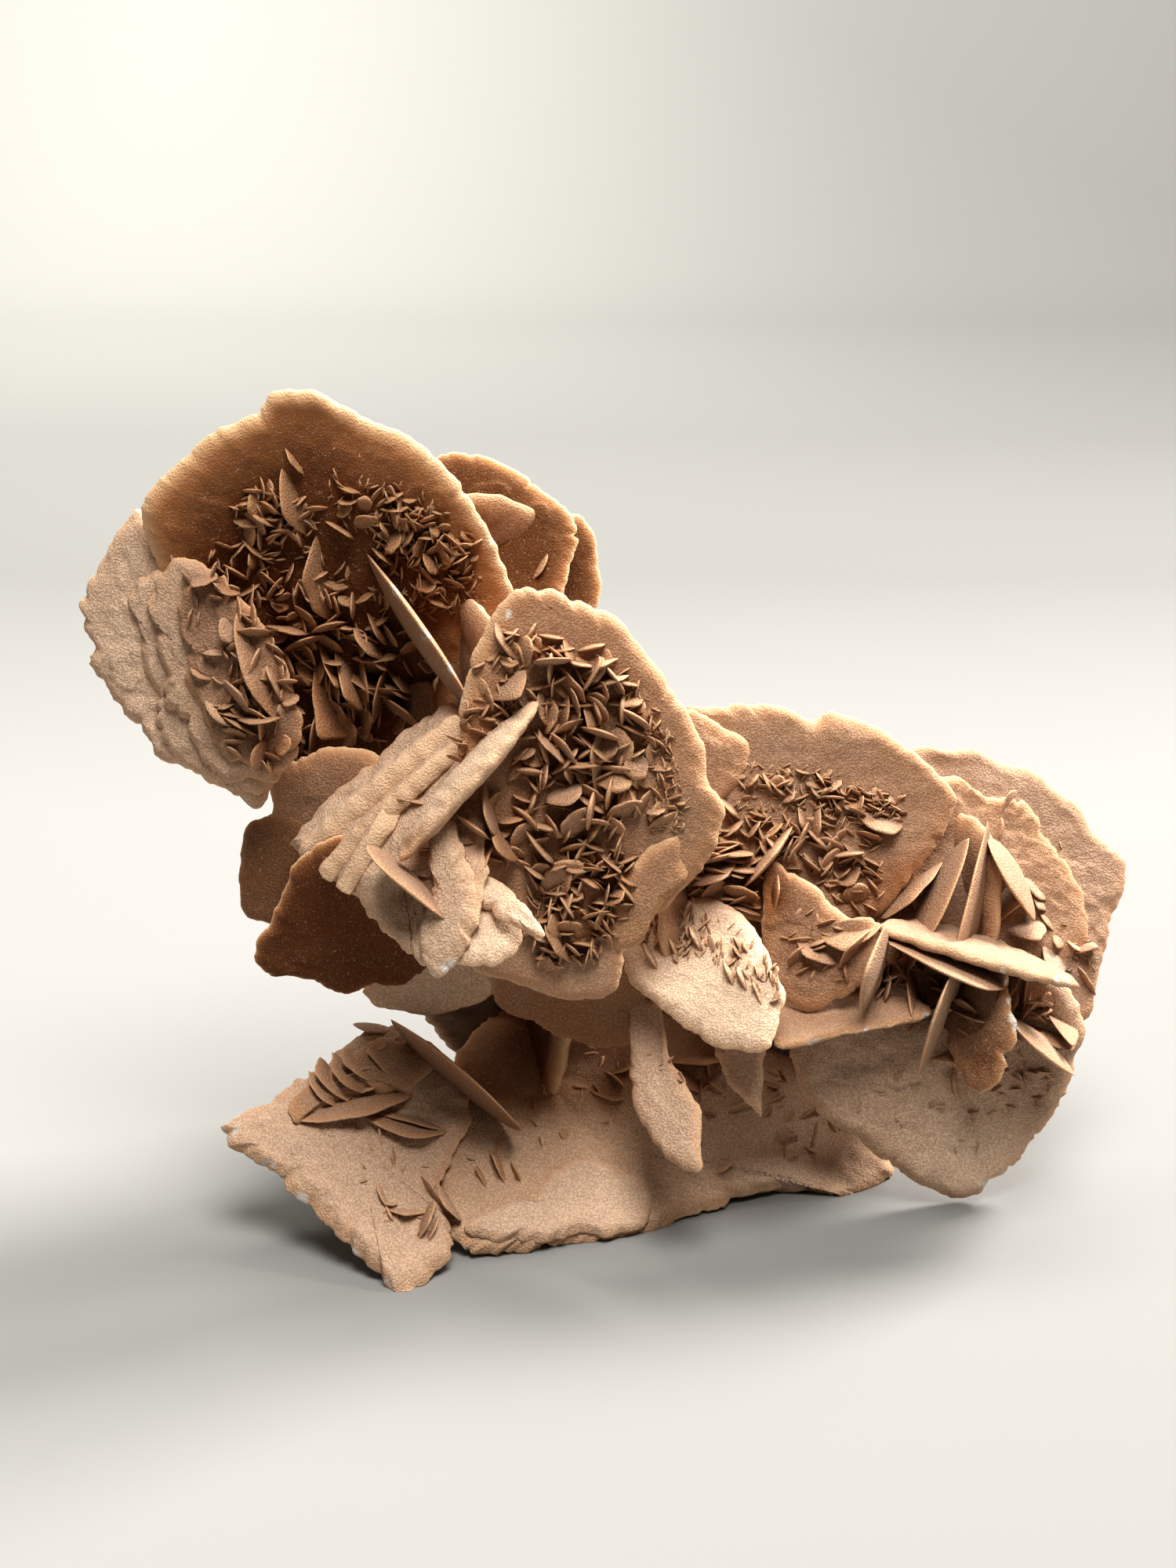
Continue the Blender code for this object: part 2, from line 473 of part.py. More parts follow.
def grow_rear(growth):
    """The oval plates behind the spine, and blades on their rear faces."""
    for name in REAR_PLATES:
        if name != "spine":
            grow_oval(growth, name)
    chance = np.random.default_rng(REAR_SEED)
    for name, (count, shortest, longest) in REAR_BLADES.items():
        middle, sideways, upwards, normal, half_width, half_height, _ = rear_frame(name)
        for _ in range(count):
            spread = (2.0 * np.pi, REAR_BLADE_SPREAD, np.pi, 1.0)
            bearing, share, heading, lean = chance.random(4) * spread
            length = chance.uniform(shortest, longest)
            spot = middle + sideways * half_width * share * cos(bearing)
            spot = spot + upwards * half_height * share * sin(bearing)
            along = (sideways * cos(heading) + upwards * sin(heading)) * length
            outward = -normal + (lean - 0.5) * unit(np.cross(along, normal))
            tips = (spot - along / 2.0, spot + along / 2.0)
            rise = REAR_BLADE_RISE * length
            growth.blade(*tips, outward, rise, BLADE_ROOT, REAR_BLADE_THICKNESS)


def mesh_object(name, vertices, faces):
    """An object of the given mesh, its millimetres turned into metres."""
    mesh = bpy.data.meshes.new(name)
    mesh.from_pydata([tuple(float(x) * MM for x in vertex) for vertex in vertices], [], faces)
    mesh.validate()
    built = bpy.data.objects.new(name, mesh)
    bpy.context.scene.collection.objects.link(built)
    return built


def as_guide(guide):
    """Marks an object as a cutter or guide, not a part."""
    guide.hide_render = True
    guide.display_type = "WIRE"
    return guide


def block(name, lowest, highest):
    """A box between two corners."""
    (x0, y0, z0), (x1, y1, z1) = lowest, highest
    vertices = [(x, y, z) for z in (z0, z1) for x, y in ((x0, y0), (x1, y0), (x1, y1), (x0, y1))]
    faces = [(3, 2, 1, 0), (4, 5, 6, 7), (0, 1, 5, 4), (1, 2, 6, 5), (2, 3, 7, 6), (3, 0, 4, 7)]
    return mesh_object(name, vertices, faces)


def gypsum():
    """Sandy, pinkish brown gypsum."""
    material = bpy.data.materials.new("sand_gypsum")
    material.use_nodes = True
    shader = material.node_tree.nodes["Principled BSDF"]
    shader.inputs["Base Color"].default_value = GYPSUM_COLOUR
    shader.inputs["Roughness"].default_value = GYPSUM_ROUGHNESS
    shader.inputs["Metallic"].default_value = 0.0
    return material


def sand_rose():
    """All crystals joined in one solid, the spine first, its soles trimmed flat."""
    growth = Growth()
    grow_front(growth)
    grow_rear(growth)
    crystals = as_guide(mesh_object("crystals", growth.vertices, growth.faces))
    spine = Growth()
    grow_oval(spine, "spine")
    rose = mesh_object("sand_rose", spine.vertices, spine.faces)
    rose.data.materials.append(gypsum())
    join = rose.modifiers.new("grown together", "BOOLEAN")
    join.operation = "UNION"
    join.solver = "EXACT"
    join.use_self = True
    join.object = crystals
    lowest = (-GROUND_HALF, -GROUND_HALF, -GROUND_DEPTH)
    ground = as_guide(block("ground", lowest, (GROUND_HALF, GROUND_HALF, 0.0)))
    trim = rose.modifiers.new("flat soles", "BOOLEAN")
    trim.operation = "DIFFERENCE"
    trim.solver = "EXACT"
    trim.object = ground
    return rose


for leftover in list(bpy.data.objects):
    bpy.data.objects.remove(leftover)
sand_rose()
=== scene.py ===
"""Looks of the gypsum sand rose: every crystal of the solid made again as a sandy, ragged lens.

The crystals are laid out on an upright drawing plane, seen from one station point in front of
the object and a little above it. A spot on that plane, in millimetres right of and above its
middle, is carried along the line of sight on to a crystal's own plane. Each plate is a grid of
rays by rings between two faces, each blade a grid of lengths by girths. Working units are
millimetres and degrees; the meshes are made in metres, +Z up.
"""

from math import cos, pi, radians, sin

import bpy
import numpy as np
from mathutils import Matrix


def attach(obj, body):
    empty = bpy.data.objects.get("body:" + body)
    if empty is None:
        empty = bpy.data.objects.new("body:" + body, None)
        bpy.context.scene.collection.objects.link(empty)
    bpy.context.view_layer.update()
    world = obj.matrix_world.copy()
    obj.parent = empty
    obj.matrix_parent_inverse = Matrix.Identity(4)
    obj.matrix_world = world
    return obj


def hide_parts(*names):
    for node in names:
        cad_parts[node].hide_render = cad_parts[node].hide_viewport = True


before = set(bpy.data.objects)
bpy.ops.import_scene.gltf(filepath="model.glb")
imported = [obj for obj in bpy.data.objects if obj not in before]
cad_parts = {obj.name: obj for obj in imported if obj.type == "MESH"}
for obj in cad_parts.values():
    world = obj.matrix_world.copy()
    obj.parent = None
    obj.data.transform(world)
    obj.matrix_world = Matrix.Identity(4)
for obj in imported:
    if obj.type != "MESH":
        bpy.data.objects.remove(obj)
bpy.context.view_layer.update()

MM = 0.001
SEED = 41
REAR_SEED = 41                    # of the solid's own rear blades

# The drawing plane.
STATION_DISTANCE = 500.0          # from the eye to the middle of the drawing plane
STATION_ANGLE = 18.0              # how steeply the eye looks down
DRAWING_MIDDLE = np.array((-7.08, -18.61, 98.0))  # its middle, in the object's frame
LENS = 54.0                       # of a camera at the eye
FILM = 36.0                       # the longer side of its film

ANGLE = radians(STATION_ANGLE)
RIGHT = np.array((1.0, 0.0, 0.0))
AHEAD = np.array((0.0, cos(ANGLE), -sin(ANGLE)))
UPWARD = np.array((0.0, sin(ANGLE), cos(ANGLE)))
EYE = -STATION_DISTANCE * AHEAD

# How fine the plates' grids are.
SPACING = 0.78  # between grid points on a front face
REAR_SPACING = 1.9
CURVE_STEPS = 24                  # between two points of an outline
RIM_STEPS = (0.0, 0.14, 0.36, 0.7, 1.15)  # distances from the rim of a face's outer rings

# Ragged rims.
RIM_WAVES = ((15.0, 0.3), (7.0, 0.2), (3.6, 0.13), (1.9, 0.09))  # (length, height)
WAVES_OF_A_LENGTH = 7
NICK_SPACING = 9.0
NICK_DEPTHS = (0.1, 0.7)
NICK_WIDTHS = (0.4, 1.2)
SCALLOP_LEVEL = 0.64              # about the mean of |sin|, so that scallops keep a plate's size
USUAL_SCALLOP = (0.0, 5.0)        # depth and width: none

# Faces of plates.
RIM_ROUNDING = 0.9                # how far in a rim is rounded, as a share of the thickness
RIM_FULLNESS = 0.7                # the lower, the blunter the rim
BOWS = ((38.0, 1.0), (17.0, 0.25))  # the bow's waves: (length, share of the bow)
BOW_WAVES = 8                     # of each length
BOW_FADE = 6.0                    # a rim stays in its plane, and the bow is full this far in
SKIN = ((9.0, 0.22, 18), (3.6, 0.13, 18), (1.7, 0.07, 24))  # (length, height, how many waves)
SKIN_FADE = 2.2                   # the skin's relief is full this far in
BLISTERS = (6.5, 12)              # length and number of the waves that set blisters and pits
BLISTER_HEIGHT, BLISTER_FOOT, BLISTER_TOP = 0.18, 0.15, 0.35
PIT_DEPTH, PIT_BRIM, PIT_FLOOR = 0.12, 0.5, 0.75
RELIEF = 0.45                     # all this relief is times this and the plate's raggedness
FLAKE_FADE = 2.0                  # flakes stand full this far in
FLAKE_SIZES = (0.6, 1.2)          # heights of flakes, as shares of their set's height
FLAKE_LOW, FLAKE_SLOPE = 0.55, 0.45  # a flake's height at its middle, and what its heading adds
FLAKE_LOBES = (0.03, 0.12)        # how wavy a flake's outline is
FLAKE_EDGE = 0.14                 # how wide a flake's edge is, as a share of its radius
PAINTED_SHADE_FADE = 5.0                  # a patch of painted shade (painted light where paler) is full this far behind its start

# Blades.
SKEW = 0.35                       # how far a blade's highest spot may stray to one side
RIM_SWELLS = (9.0, 17.0)          # how fast a blade's rim swells along it
BLADE_GLOW = 0.9                  # how far from its rim a blade is thin
BLADE_ROOT = 3.0                  # how deep a blade is grown into its host plate
BLADE_SHADE = 0.15                # a blade's shade, as a share of its host's
SLIMNESS = 0.8                    # of the drawn blades, beside the solid's
DRAWN_GRID = (20, 12)             # lengths and girths of a drawn blade
KNIFE_GRID = (70, 30)             # and of a big one
KNIFE_BEND, KNIFE_WOBBLE = 0.02, 0.035
LUMPY_EDGE = 0.9                  # big blades with a blunter edge than this are lumpy
LUMP_LENGTH = 4.5                 # of the lumps on them
LUMP_HEIGHT = 0.22

# Blades of the thickets.
THICKET_BORDER = 5.0              # how far in from its edge a thicket has its largest blades
BORDER_SIZE = 0.35                # size at its edge, as a share of the size inside
SIZE_BIAS = 1.6                   # the higher, the more of the blades are small
HEAP_BIAS = 1.5                   # the higher, the fewer blades are heaped up
SUNK = 0.4                        # how deep the line of a blade's tips lies in its host
TIP_LIFT = 0.18                   # how far one tip may stand off, as a share of the length
ROLL_BIAS = 3.5                   # the higher, the more of a thicket's blades stand on edge
RISES = (0.32, 0.62)              # a blade's height, as a share of its length
STOUTNESS = 0.17                  # its thickness, as a share of its length
THINNEST, THICKEST = 0.45, 1.35
SMALL_BLADE = 4.0                 # a shorter blade has the coarser grid
SMALL_GRID, LARGE_GRID = (6, 6), (9, 8)
THICKET_FULLNESS, THICKET_EVENNESS = 0.6, 0.5

# Rear plates and their blades.
REAR_RIM_POINTS = 15
REAR_WAVES = ((3.0, 1.0, 0.07), (5.0, 2.0, 0.04))  # waves around, phases, share of the radius
REAR_PHASE = 0.7                  # a rear plate's waves are turned by this times its name's length
REAR_BOW = 0.8
REAR_TONES = (0.2, 0.7)
REAR_SHADE = 0.1
REAR_GLOW = 3.0
REAR_BLADE_SPREAD = 0.7           # how far from the middle rear blades stand
REAR_BLADE_RISE = 0.55            # their height, as a share of their length
REAR_BLADE_THICKNESS = 2.4
REAR_BLADE_GRID = (22, 14)
REAR_SMALL_BLADES = 130           # smaller ones on each of these plates
REAR_SMALL_SPREAD = 0.78
REAR_SMALL_SHORTEST, REAR_SMALL_GROWTH = 2.2, 5.0
REAR_SMALL_RISES = (0.3, 0.6)
REAR_SMALL_STOUTNESS = 0.2
REAR_SMALL_THINNEST, REAR_SMALL_THICKEST = 0.5, 1.7
REAR_SMALL_GRID = (7, 6)

# Colours of the sandy gypsum.
PINKISH = (0.50, 0.335, 0.235, 1.0)
GOLDEN = (0.42, 0.215, 0.095, 1.0)
GREYISH = (0.42, 0.29, 0.205, 1.0)
# Painted light: the paler colour that a shade below 0 paints a plate towards.
PAINTED_LIGHT_PALE = (0.84, 0.63, 0.46, 1.0)
# The deeper brown that a shade towards 1 darkens a plate by: partly the crystal's own colour, partly
# painted shade.
DEEP_BROWN_AND_PAINTED_SHADE = (0.31, 0.155, 0.03, 1.0)           # times the body's colour
SHADE_GRAIN = (0.45, 0.36, 0.3, 1.0)      # times the body's colour
PALE_GRAIN = (0.68, 0.54, 0.42, 1.0)
# Painted glow of light shining through thin rims: deeper orange further in, paler at the rim.
PAINTED_INNER_GLOW = (0.78, 0.36, 0.15, 1.0)
PAINTED_RIM_GLOW = (0.95, 0.62, 0.36, 1.0)
WHITE_FROST = (0.72, 0.66, 0.58, 1.0)

# Patterns of the sandy gypsum: (scale, detail) of each noise, per metre.
CLOUDS = (70.0, 3.0)
GRAINS = (2300.0, 2.0)
PALE_SPECKS = (2600.0, 0.0)
CHIPS = (420.0, 2.0)
CRUST = (800.0, 3.0)
CLOUDINESS = 0.4
GRAIN_DEPTH = 0.55
SPECK_STRENGTH = 0.35
GRAIN_HEIGHT, CRUST_HEIGHT = 0.9, 0.4
BUMP_STRENGTH = 0.8
BUMP_DISTANCE = 0.0002
ROUGHNESS = 0.78
SHINE = 0.3
SCATTER_WEIGHT = 0.06
SCATTER_RADIUS = (1.0, 0.42, 0.2)
SCATTER_SCALE = 0.0018

# The paper sweep, in metres.
SWEEP_WIDTH = 6.0
SWEEP_FRONT = 1.5
SWEEP_BACK = 1.6
SWEEP_RADIUS = 0.8
SWEEP_TOP = 3.0
BEND_STEPS = 24
# Its grey along its length, painted darker on the floor behind the object and paler up the
# wall to even out how the lamps light it: (metres from its front edge, grey).
PAPER_PAINTED_GREYS = (
    (1.2, 0.26), (1.75, 0.245), (2.1, 0.19), (2.5, 0.225), (2.9, 0.31), (3.3, 0.38), (3.7, 0.42),
)
PAPER_TINT = (1.0, 0.992, 0.965)
# From one place across it to another, its grey is times this much to times that much: painted
# shade on the right, where the window lights it, and painted light on the left.
PAPER_PAINTED_ACROSS = (-0.55, 0.4, 1.22, 0.76)
PAPER_ROUGHNESS = 0.9
PAPER_SHINE = 0.1

# Light: (name, place, target, size, power, colour), in metres and watts.
ROOM_COLOUR = (1.0, 0.87, 0.7, 1.0)
ROOM_STRENGTH = 0.07
LAMPS = (
    ("sky panel", (0.1, -0.42, 1.2), (0.0, 0.0, 0.06), 0.6, 19.0, (1.0, 0.985, 0.96)),
    ("window", (0.74, 0.48, 0.82), (0.0, 0.0, 0.04), 0.42, 32.0, (1.0, 0.97, 0.93)),
    ("backdrop", (0.0, 0.9, 1.9), (0.0, 2.2, 0.4), 1.6, 70.0, (1.0, 0.985, 0.93)),
)

# Plates: name -> (depth at the middle of the outline, turn, tilt, thickness, outline).
# Turn is to the right and tilt is upwards, away from squarely facing the eye.
PLATES = {
    # Upper left rosette.
    "crown": (0.0, 5, -28, 4.0, (
        (-95, 58), (-89, 66.5), (-80, 74.5), (-70, 79.5), (-66.5, 83.5), (-58, 83.5),
        (-47.5, 78), (-36.5, 73), (-27, 63.5), (-20, 51.5), (-16, 41), (-17.5, 36),
        (-24.5, 30), (-27, 18), (-36, 1), (-54, -4), (-68, 2), (-80, 18), (-89, 40))),
    "cheek": (2.0, -10, -8, 4.0, (
        (-95, 58), (-99, 55), (-102, 50), (-107.5, 40), (-108, 36), (-107, 32),
        (-104.5, 29.5), (-106, 25.5), (-101.5, 19.5), (-93, 8.5), (-89.5, 5), (-80, 0.5),
        (-73.5, -3), (-70, -5), (-66, 2), (-67, 14), (-73, 26), (-81, 40), (-88, 51))),
    "nape": (20.0, -4, 6, 3.4, (
        (-32.5, 69.5), (-23.5, 70), (-15, 66.5), (-9, 62), (-4.5, 58), (-2, 53.5),
        (-3, 48), (-5, 42), (-9, 33), (-22, 28), (-36, 36), (-42, 53), (-39, 63.5))),
    "nape_lower": (27.0, 8, 2, 3.2, (
        (-3.5, 57.5), (0, 55), (2, 50.5), (2.5, 44.5), (2, 37.5), (-2, 28), (-12, 28),
        (-17, 40), (-12, 52))),

    # Central rosette.
    "heart": (-13.0, 12, -8, 4.2, (
        (-16, 41), (-9.5, 41.5), (0, 38.5), (7, 34.5), (13, 27), (20, 17), (24.5, 8.5),
        (25.5, 1), (28, -3), (29, -6), (28, -10.5), (26.5, -15), (21.5, -21),
        (14, -28.5), (1.5, -33.5), (-12, -31.5), (-22, -20), (-26.5, 0), (-27, 17),
        (-23, 31))),
    "chin": (-9.0, 6, -12, 3.6, (
        (6.5, -24), (9, -27), (8, -34), (7, -41.5), (3.5, -45.5), (-6, -45.5),
        (-16.5, -42), (-24.5, -39), (-27, -30), (-18.5, -20), (-5, -18))),
    "prow": (-13.0, -34, 22, 5.0, (
        (-28, 16), (-34, 14.5), (-40, 10), (-48, 2.5), (-54, -2), (-62.5, -12),
        (-62, -14), (-51.5, -22.5), (-45, -29.5), (-36, -38), (-32, -40.5), (-28, -38),
        (-26.5, -34.5), (-22.5, -26), (-22, -10), (-25, 6))),
    "post": (-27.0, -24, 12, 4.2, (
        (-33, -8), (-33.5, -16), (-33, -24), (-36, -34), (-32, -40), (-28, -38),
        (-24, -30), (-24.5, -20), (-26.5, -13), (-29, -8))),
    "spur": (-27.0, -10, 38, 2.6, (
        (-25.5, -20), (-21, -19.5), (-15, -24), (-9, -32), (-14, -31), (-20, -28),
        (-25, -24.5))),
    "shield": (-26.5, 8, 26, 4.0, (
        (-21.5, -25), (-27, -29), (-30.5, -33), (-29.5, -37.5), (-20, -39), (-16, -36.5),
        (-14, -33), (-16, -27))),

    # Plates under and behind the central rosette, on its left.
    "collar": (8.0, -20, -10, 3.6, (
        (-67.5, 1), (-67, -5), (-65, -13), (-54, -17), (-44, -8), (-42, 4), (-52, 8),
        (-63, 5))),
    "ear": (14.0, -18, -12, 3.2, (
        (-70, -7.5), (-73.5, -11.5), (-73.5, -26.5), (-68, -29.5), (-58, -30),
        (-53, -14), (-62, -6))),
    "keel": (6.0, 8, -30, 4.0, (
        (-62.5, -17), (-64.5, -23), (-68, -29.5), (-70.5, -33.5), (-70.5, -37.5),
        (-67.5, -40.5), (-59, -41.5), (-52, -44.5), (-45, -42.5), (-38, -42.5),
        (-33, -38), (-31, -28), (-40, -14), (-53, -11))),
    "keel_lower": (14.0, -5, -20, 3.6, (
        (-48, -43.5), (-45, -47), (-39, -48.5), (-32.5, -49), (-26, -47.5), (-20, -44.5),
        (-15, -40), (-18, -30), (-35, -30), (-46, -36))),
    "arch": (14.0, 4, -30, 3.4, (
        (-20, -45.5), (-12.5, -50.5), (-3, -54.5), (5.5, -56), (13, -52), (12, -38),
        (-4, -34), (-18, -36))),

    # Right-hand rosettes.
    "wing": (18.0, 10, 2, 4.0, (
        (20.5, 15.5), (24.5, 16.5), (35, 17), (42, 16.5), (47.5, 13.5), (51.5, 15.5),
        (59.5, 13), (65, 10), (72, 4.5), (77.5, -1.5), (78.5, -4), (75.5, -10.5),
        (73.5, -14), (66.5, -22.5), (61.5, -28.5), (50, -31.5), (35, -29), (22, -25),
        (13.5, -10), (14, 6))),
    "tail": (34.0, 14, 12, 4.0, (
        (69.5, 7.5), (76, 7.5), (82, 7), (88.5, 4.5), (95.5, 2), (100.5, -2),
        (104.5, -5.5), (108, -11), (111.5, -14), (114.5, -17), (113.5, -23),
        (111.5, -28.5), (110, -34.5), (107.5, -45), (103.5, -51.5), (84, -52),
        (64, -38.5), (58, -14), (62, 1.5))),
    "fan": (22.0, 8, -10, 4.2, (
        (105.5, -51), (103.5, -58.5), (101.5, -66), (97, -72.5), (90, -81.5),
        (85, -84.5), (83.5, -87), (78.5, -88), (72.5, -86), (64, -81), (56.5, -75),
        (50.5, -71), (45.5, -66), (44, -60.5), (43.5, -55), (50, -47), (63.5, -38),
        (85, -36), (101, -42))),
    "gable": (8.0, -14, 6, 3.2, (
        (38, -17.5), (41.5, -17.5), (48.5, -22), (55, -28), (61, -29.5), (60, -41),
        (48, -48), (40, -44), (37, -33))),
    "shelf": (6.0, -4, 60, 1.9, (
        (39.5, -55.5), (51.5, -54), (63.5, -51.5), (72.5, -49.5), (70, -46),
        (56, -44.5), (42, -45.5))),
    "curtain": (8.0, -42, 6, 2.6, (
        (87.5, -38), (89.5, -43), (91, -52.5), (89.5, -57.5), (86, -65.5), (82, -65),
        (78, -59), (76, -50), (80, -42))),
    "apron": (-1.0, -16, 30, 4.2, (
        (8.5, -41.5), (11.5, -44.5), (18.5, -50), (23.5, -54), (27.5, -56),
        (35.5, -57), (38.5, -56), (40, -53), (42, -46), (39, -38), (35, -30),
        (25, -24), (14, -28), (8, -35))),
    "tongue": (4.0, -26, 20, 3.0, (
        (9.5, -45.5), (9, -60), (9.5, -67.5), (13, -75), (17, -79.5), (21.5, -82.5),
        (24, -81.5), (24, -70.5), (22.5, -66.5), (17, -57), (15, -47))),
    "tooth": (5.0, 12, 14, 2.8, (
        (28, -52), (33, -44), (40, -41), (38.5, -52), (37, -64.5), (37, -71), (34.5, -68.5),
        (30, -63.5), (27, -57))),

    # The base that the cluster rests on.
    "heel": (10.0, 8, 36, 4.6, (
        (-78, -73), (-75, -71), (-68.5, -68), (-66, -65.5), (-59, -61.5),
        (-54.5, -58.5), (-51, -55), (-47.5, -52.5), (-41.5, -51.5), (-31.5, -56.5),
        (-25, -68), (-26.5, -75), (-29.5, -81), (-31.5, -87.5), (-29, -95),
        (-31, -103), (-36, -107.5), (-40, -109.5), (-43.5, -106), (-48.5, -100.5),
        (-55, -95), (-62, -87.5), (-69, -81.5), (-76, -76.5))),
    "sole": (28.0, 16, 38, 4.6, (
        (-27, -98.5), (-15, -99.5), (-5, -98), (6.5, -97), (13, -95.5), (21, -92.5),
        (28.5, -89.5), (36, -87), (43.5, -86), (50, -87), (56.5, -88.5), (62.5, -84.5),
        (64.5, -81), (56, -66), (38, -56), (16.5, -49), (-8.5, -47), (-25, -53),
        (-31, -70), (-32, -87))),
}

# Ledges: plates that lie parallel to a host plate, lifted off it towards the eye: name ->
# (host, lift, thickness, outline).
LEDGES = {
    "cheek_ledge": ("cheek", 2.2, 3.0, (
        (-91.3, 45.2), (-96, 42.5), (-97.2, 38.5), (-95, 32.2), (-95, 27.8), (-93.5, 22.5),
        (-91, 18.7), (-92, 14.5), (-88.5, 7), (-81, 1), (-72, -2), (-63, 4), (-64, 16),
        (-68, 28), (-80, 42))),
    "cheek_scale": ("cheek", 4.4, 3.0, (
        (-87.3, 48.2), (-90.8, 44.3), (-93.2, 38.2), (-91.7, 33.8), (-92, 29.5), (-90, 25),
        (-90, 17.7), (-86, 14), (-83.5, 8), (-79, 2), (-70, 1), (-62, 6), (-63, 18),
        (-68, 30), (-78, 44))),
    "cheek_crest": ("cheek", 6.4, 2.8, (
        (-84.5, 43), (-87, 36), (-85.3, 28.5), (-86, 23), (-83, 18), (-81, 12),
        (-76, 5), (-68, 5), (-61, 10), (-63, 22), (-68, 32), (-76, 42))),
    "heart_flap": ("heart", 1.8, 3.0, (
        (18, -11), (20, -16), (21, -20), (14, -27.5), (11, -34), (4, -34), (6.5, -20))),
    "wing_scale": ("wing", 2.2, 2.8, (
        (20.5, 15.5), (26, 14), (29, 11.5), (34, 9.5), (34, 4), (28, -4), (20, -6),
        (15, 4))),
    "tail_scale": ("tail", 2.2, 2.8, (
        (72, 0), (78, 1.5), (84, -2), (93, -4), (98, -12), (104, -21), (106, -32),
        (98, -40), (82, -36), (68, -24), (66, -10))),
    "heel_ledge": ("heel", 2.6, 3.2, (
        (-62, -72), (-55, -68), (-48.5, -66), (-37.5, -65), (-33, -58), (-42, -54),
        (-48, -56), (-56, -62), (-63, -67))),
    "sole_lobe": ("sole", 2.4, 3.0, (
        (-26, -95), (-22, -91), (-13.5, -89.5), (-10, -85), (-7, -82), (-3, -80),
        (1.5, -80), (7.5, -82), (12, -84), (13.5, -92), (10, -95), (-4, -96.5),
        (-16, -97.5))),
}

# Knives: big blades seen nearly on edge: (tip right, up, depth, other tip right, up, depth,
# rise towards the eye, root away from it, roll, thickness).
KNIVES = {
    "crown_knife": (-47, 49, -4, -24, 15.5, -9, 10, 16, -6, 3.2),
    "crown_leaf": (-75, 39, -4, -64, 10, 0, 7, 14, 14, 2.6),
    "beam": (-10.5, 17.5, -24, -40, -16.5, -28, 7, 8, -12, 5.2),
    "prow_slab": (-61, -16, -0.5, -26.5, 13.5, -10.5, 3, 8, 0, 6.0),
    "prow_slab_inner": (-56.5, -20, -8, -27.5, 8, -13.5, 3, 8, 0, 5.2),
    "prow_slab_short": (-52.3, -23, -12.5, -40.5, -4, -12, 3, 8, 0, 5.0),
    "prow_knife": (-46, -13, -22, -30, -29, -30, 10, 8, 12, 2.4),
    "lintel": (62, -31, 4, 104.5, -43, 10, 9, 18, 11, 4.0),
    "lintel_lower": (64, -34, 2, 89, -43, 8, 10, 14, 13, 2.8),
    "sail": (68, -40, 11, 81, -11.5, 16, 7, 13, 18, 2.4),
    "sail_inner": (77, -43, 8, 85, -8, 16, 7, 16, -9, 2.4),
    "stave": (85, -12, 16, 95, -29, 18, 6, 12, 12, 2.6),
    "fan_knife": (77.5, -40, 0, 70, -62.5, 6, 8, 14, 5, 2.4),
    "gable_knife": (63, -30.5, -2, 58, -49, 0, 9, 13, 8, 2.8),
    "wing_knife": (33, -22, 10, 43.5, -9, 12, 6, 8, 6, 2.4),
    "low_knife": (-42, -50, 16, -14, -73.5, 10, 8, 16, -9, 2.6),
    "side_knife": (90, -50.5, 8, 103.5, -62, 10, 6, 12, 8, 2.8),
}

# Oval plates that fill the cluster's inside and finish its rear: name -> (centre right, ahead
# and up of the drawing plane's middle, yaw from facing the front, pitch upwards, half width,
# half height, thickness).
REAR_PLATES = {
    "back_crown": (-33, 38, 30, 20, -24, 33, 31, 4.0),
    "back_heart": (4, 40, -20, -30, 12, 34, 29, 4.0),
    "back_wing": (64, 42, -40, 28, -14, 38, 30, 4.0),
    "spine": (-12, 28, -38, -72, 4, 32, 46, 4.0),
    "upper_spine": (-22, 14, 12, -66, -6, 26, 26, 4.0),
    "rib": (30, 20, -30, 62, 12, 32, 27, 4.0),
    "far_rib": (80, 26, -44, -64, 6, 24, 30, 3.6),
    "back_foot": (-10, 48, -72, 12, -50, 30, 42, 4.2),
    "back_foot_right": (46, 38, -74, -24, -40, 32, 36, 4.2),
}

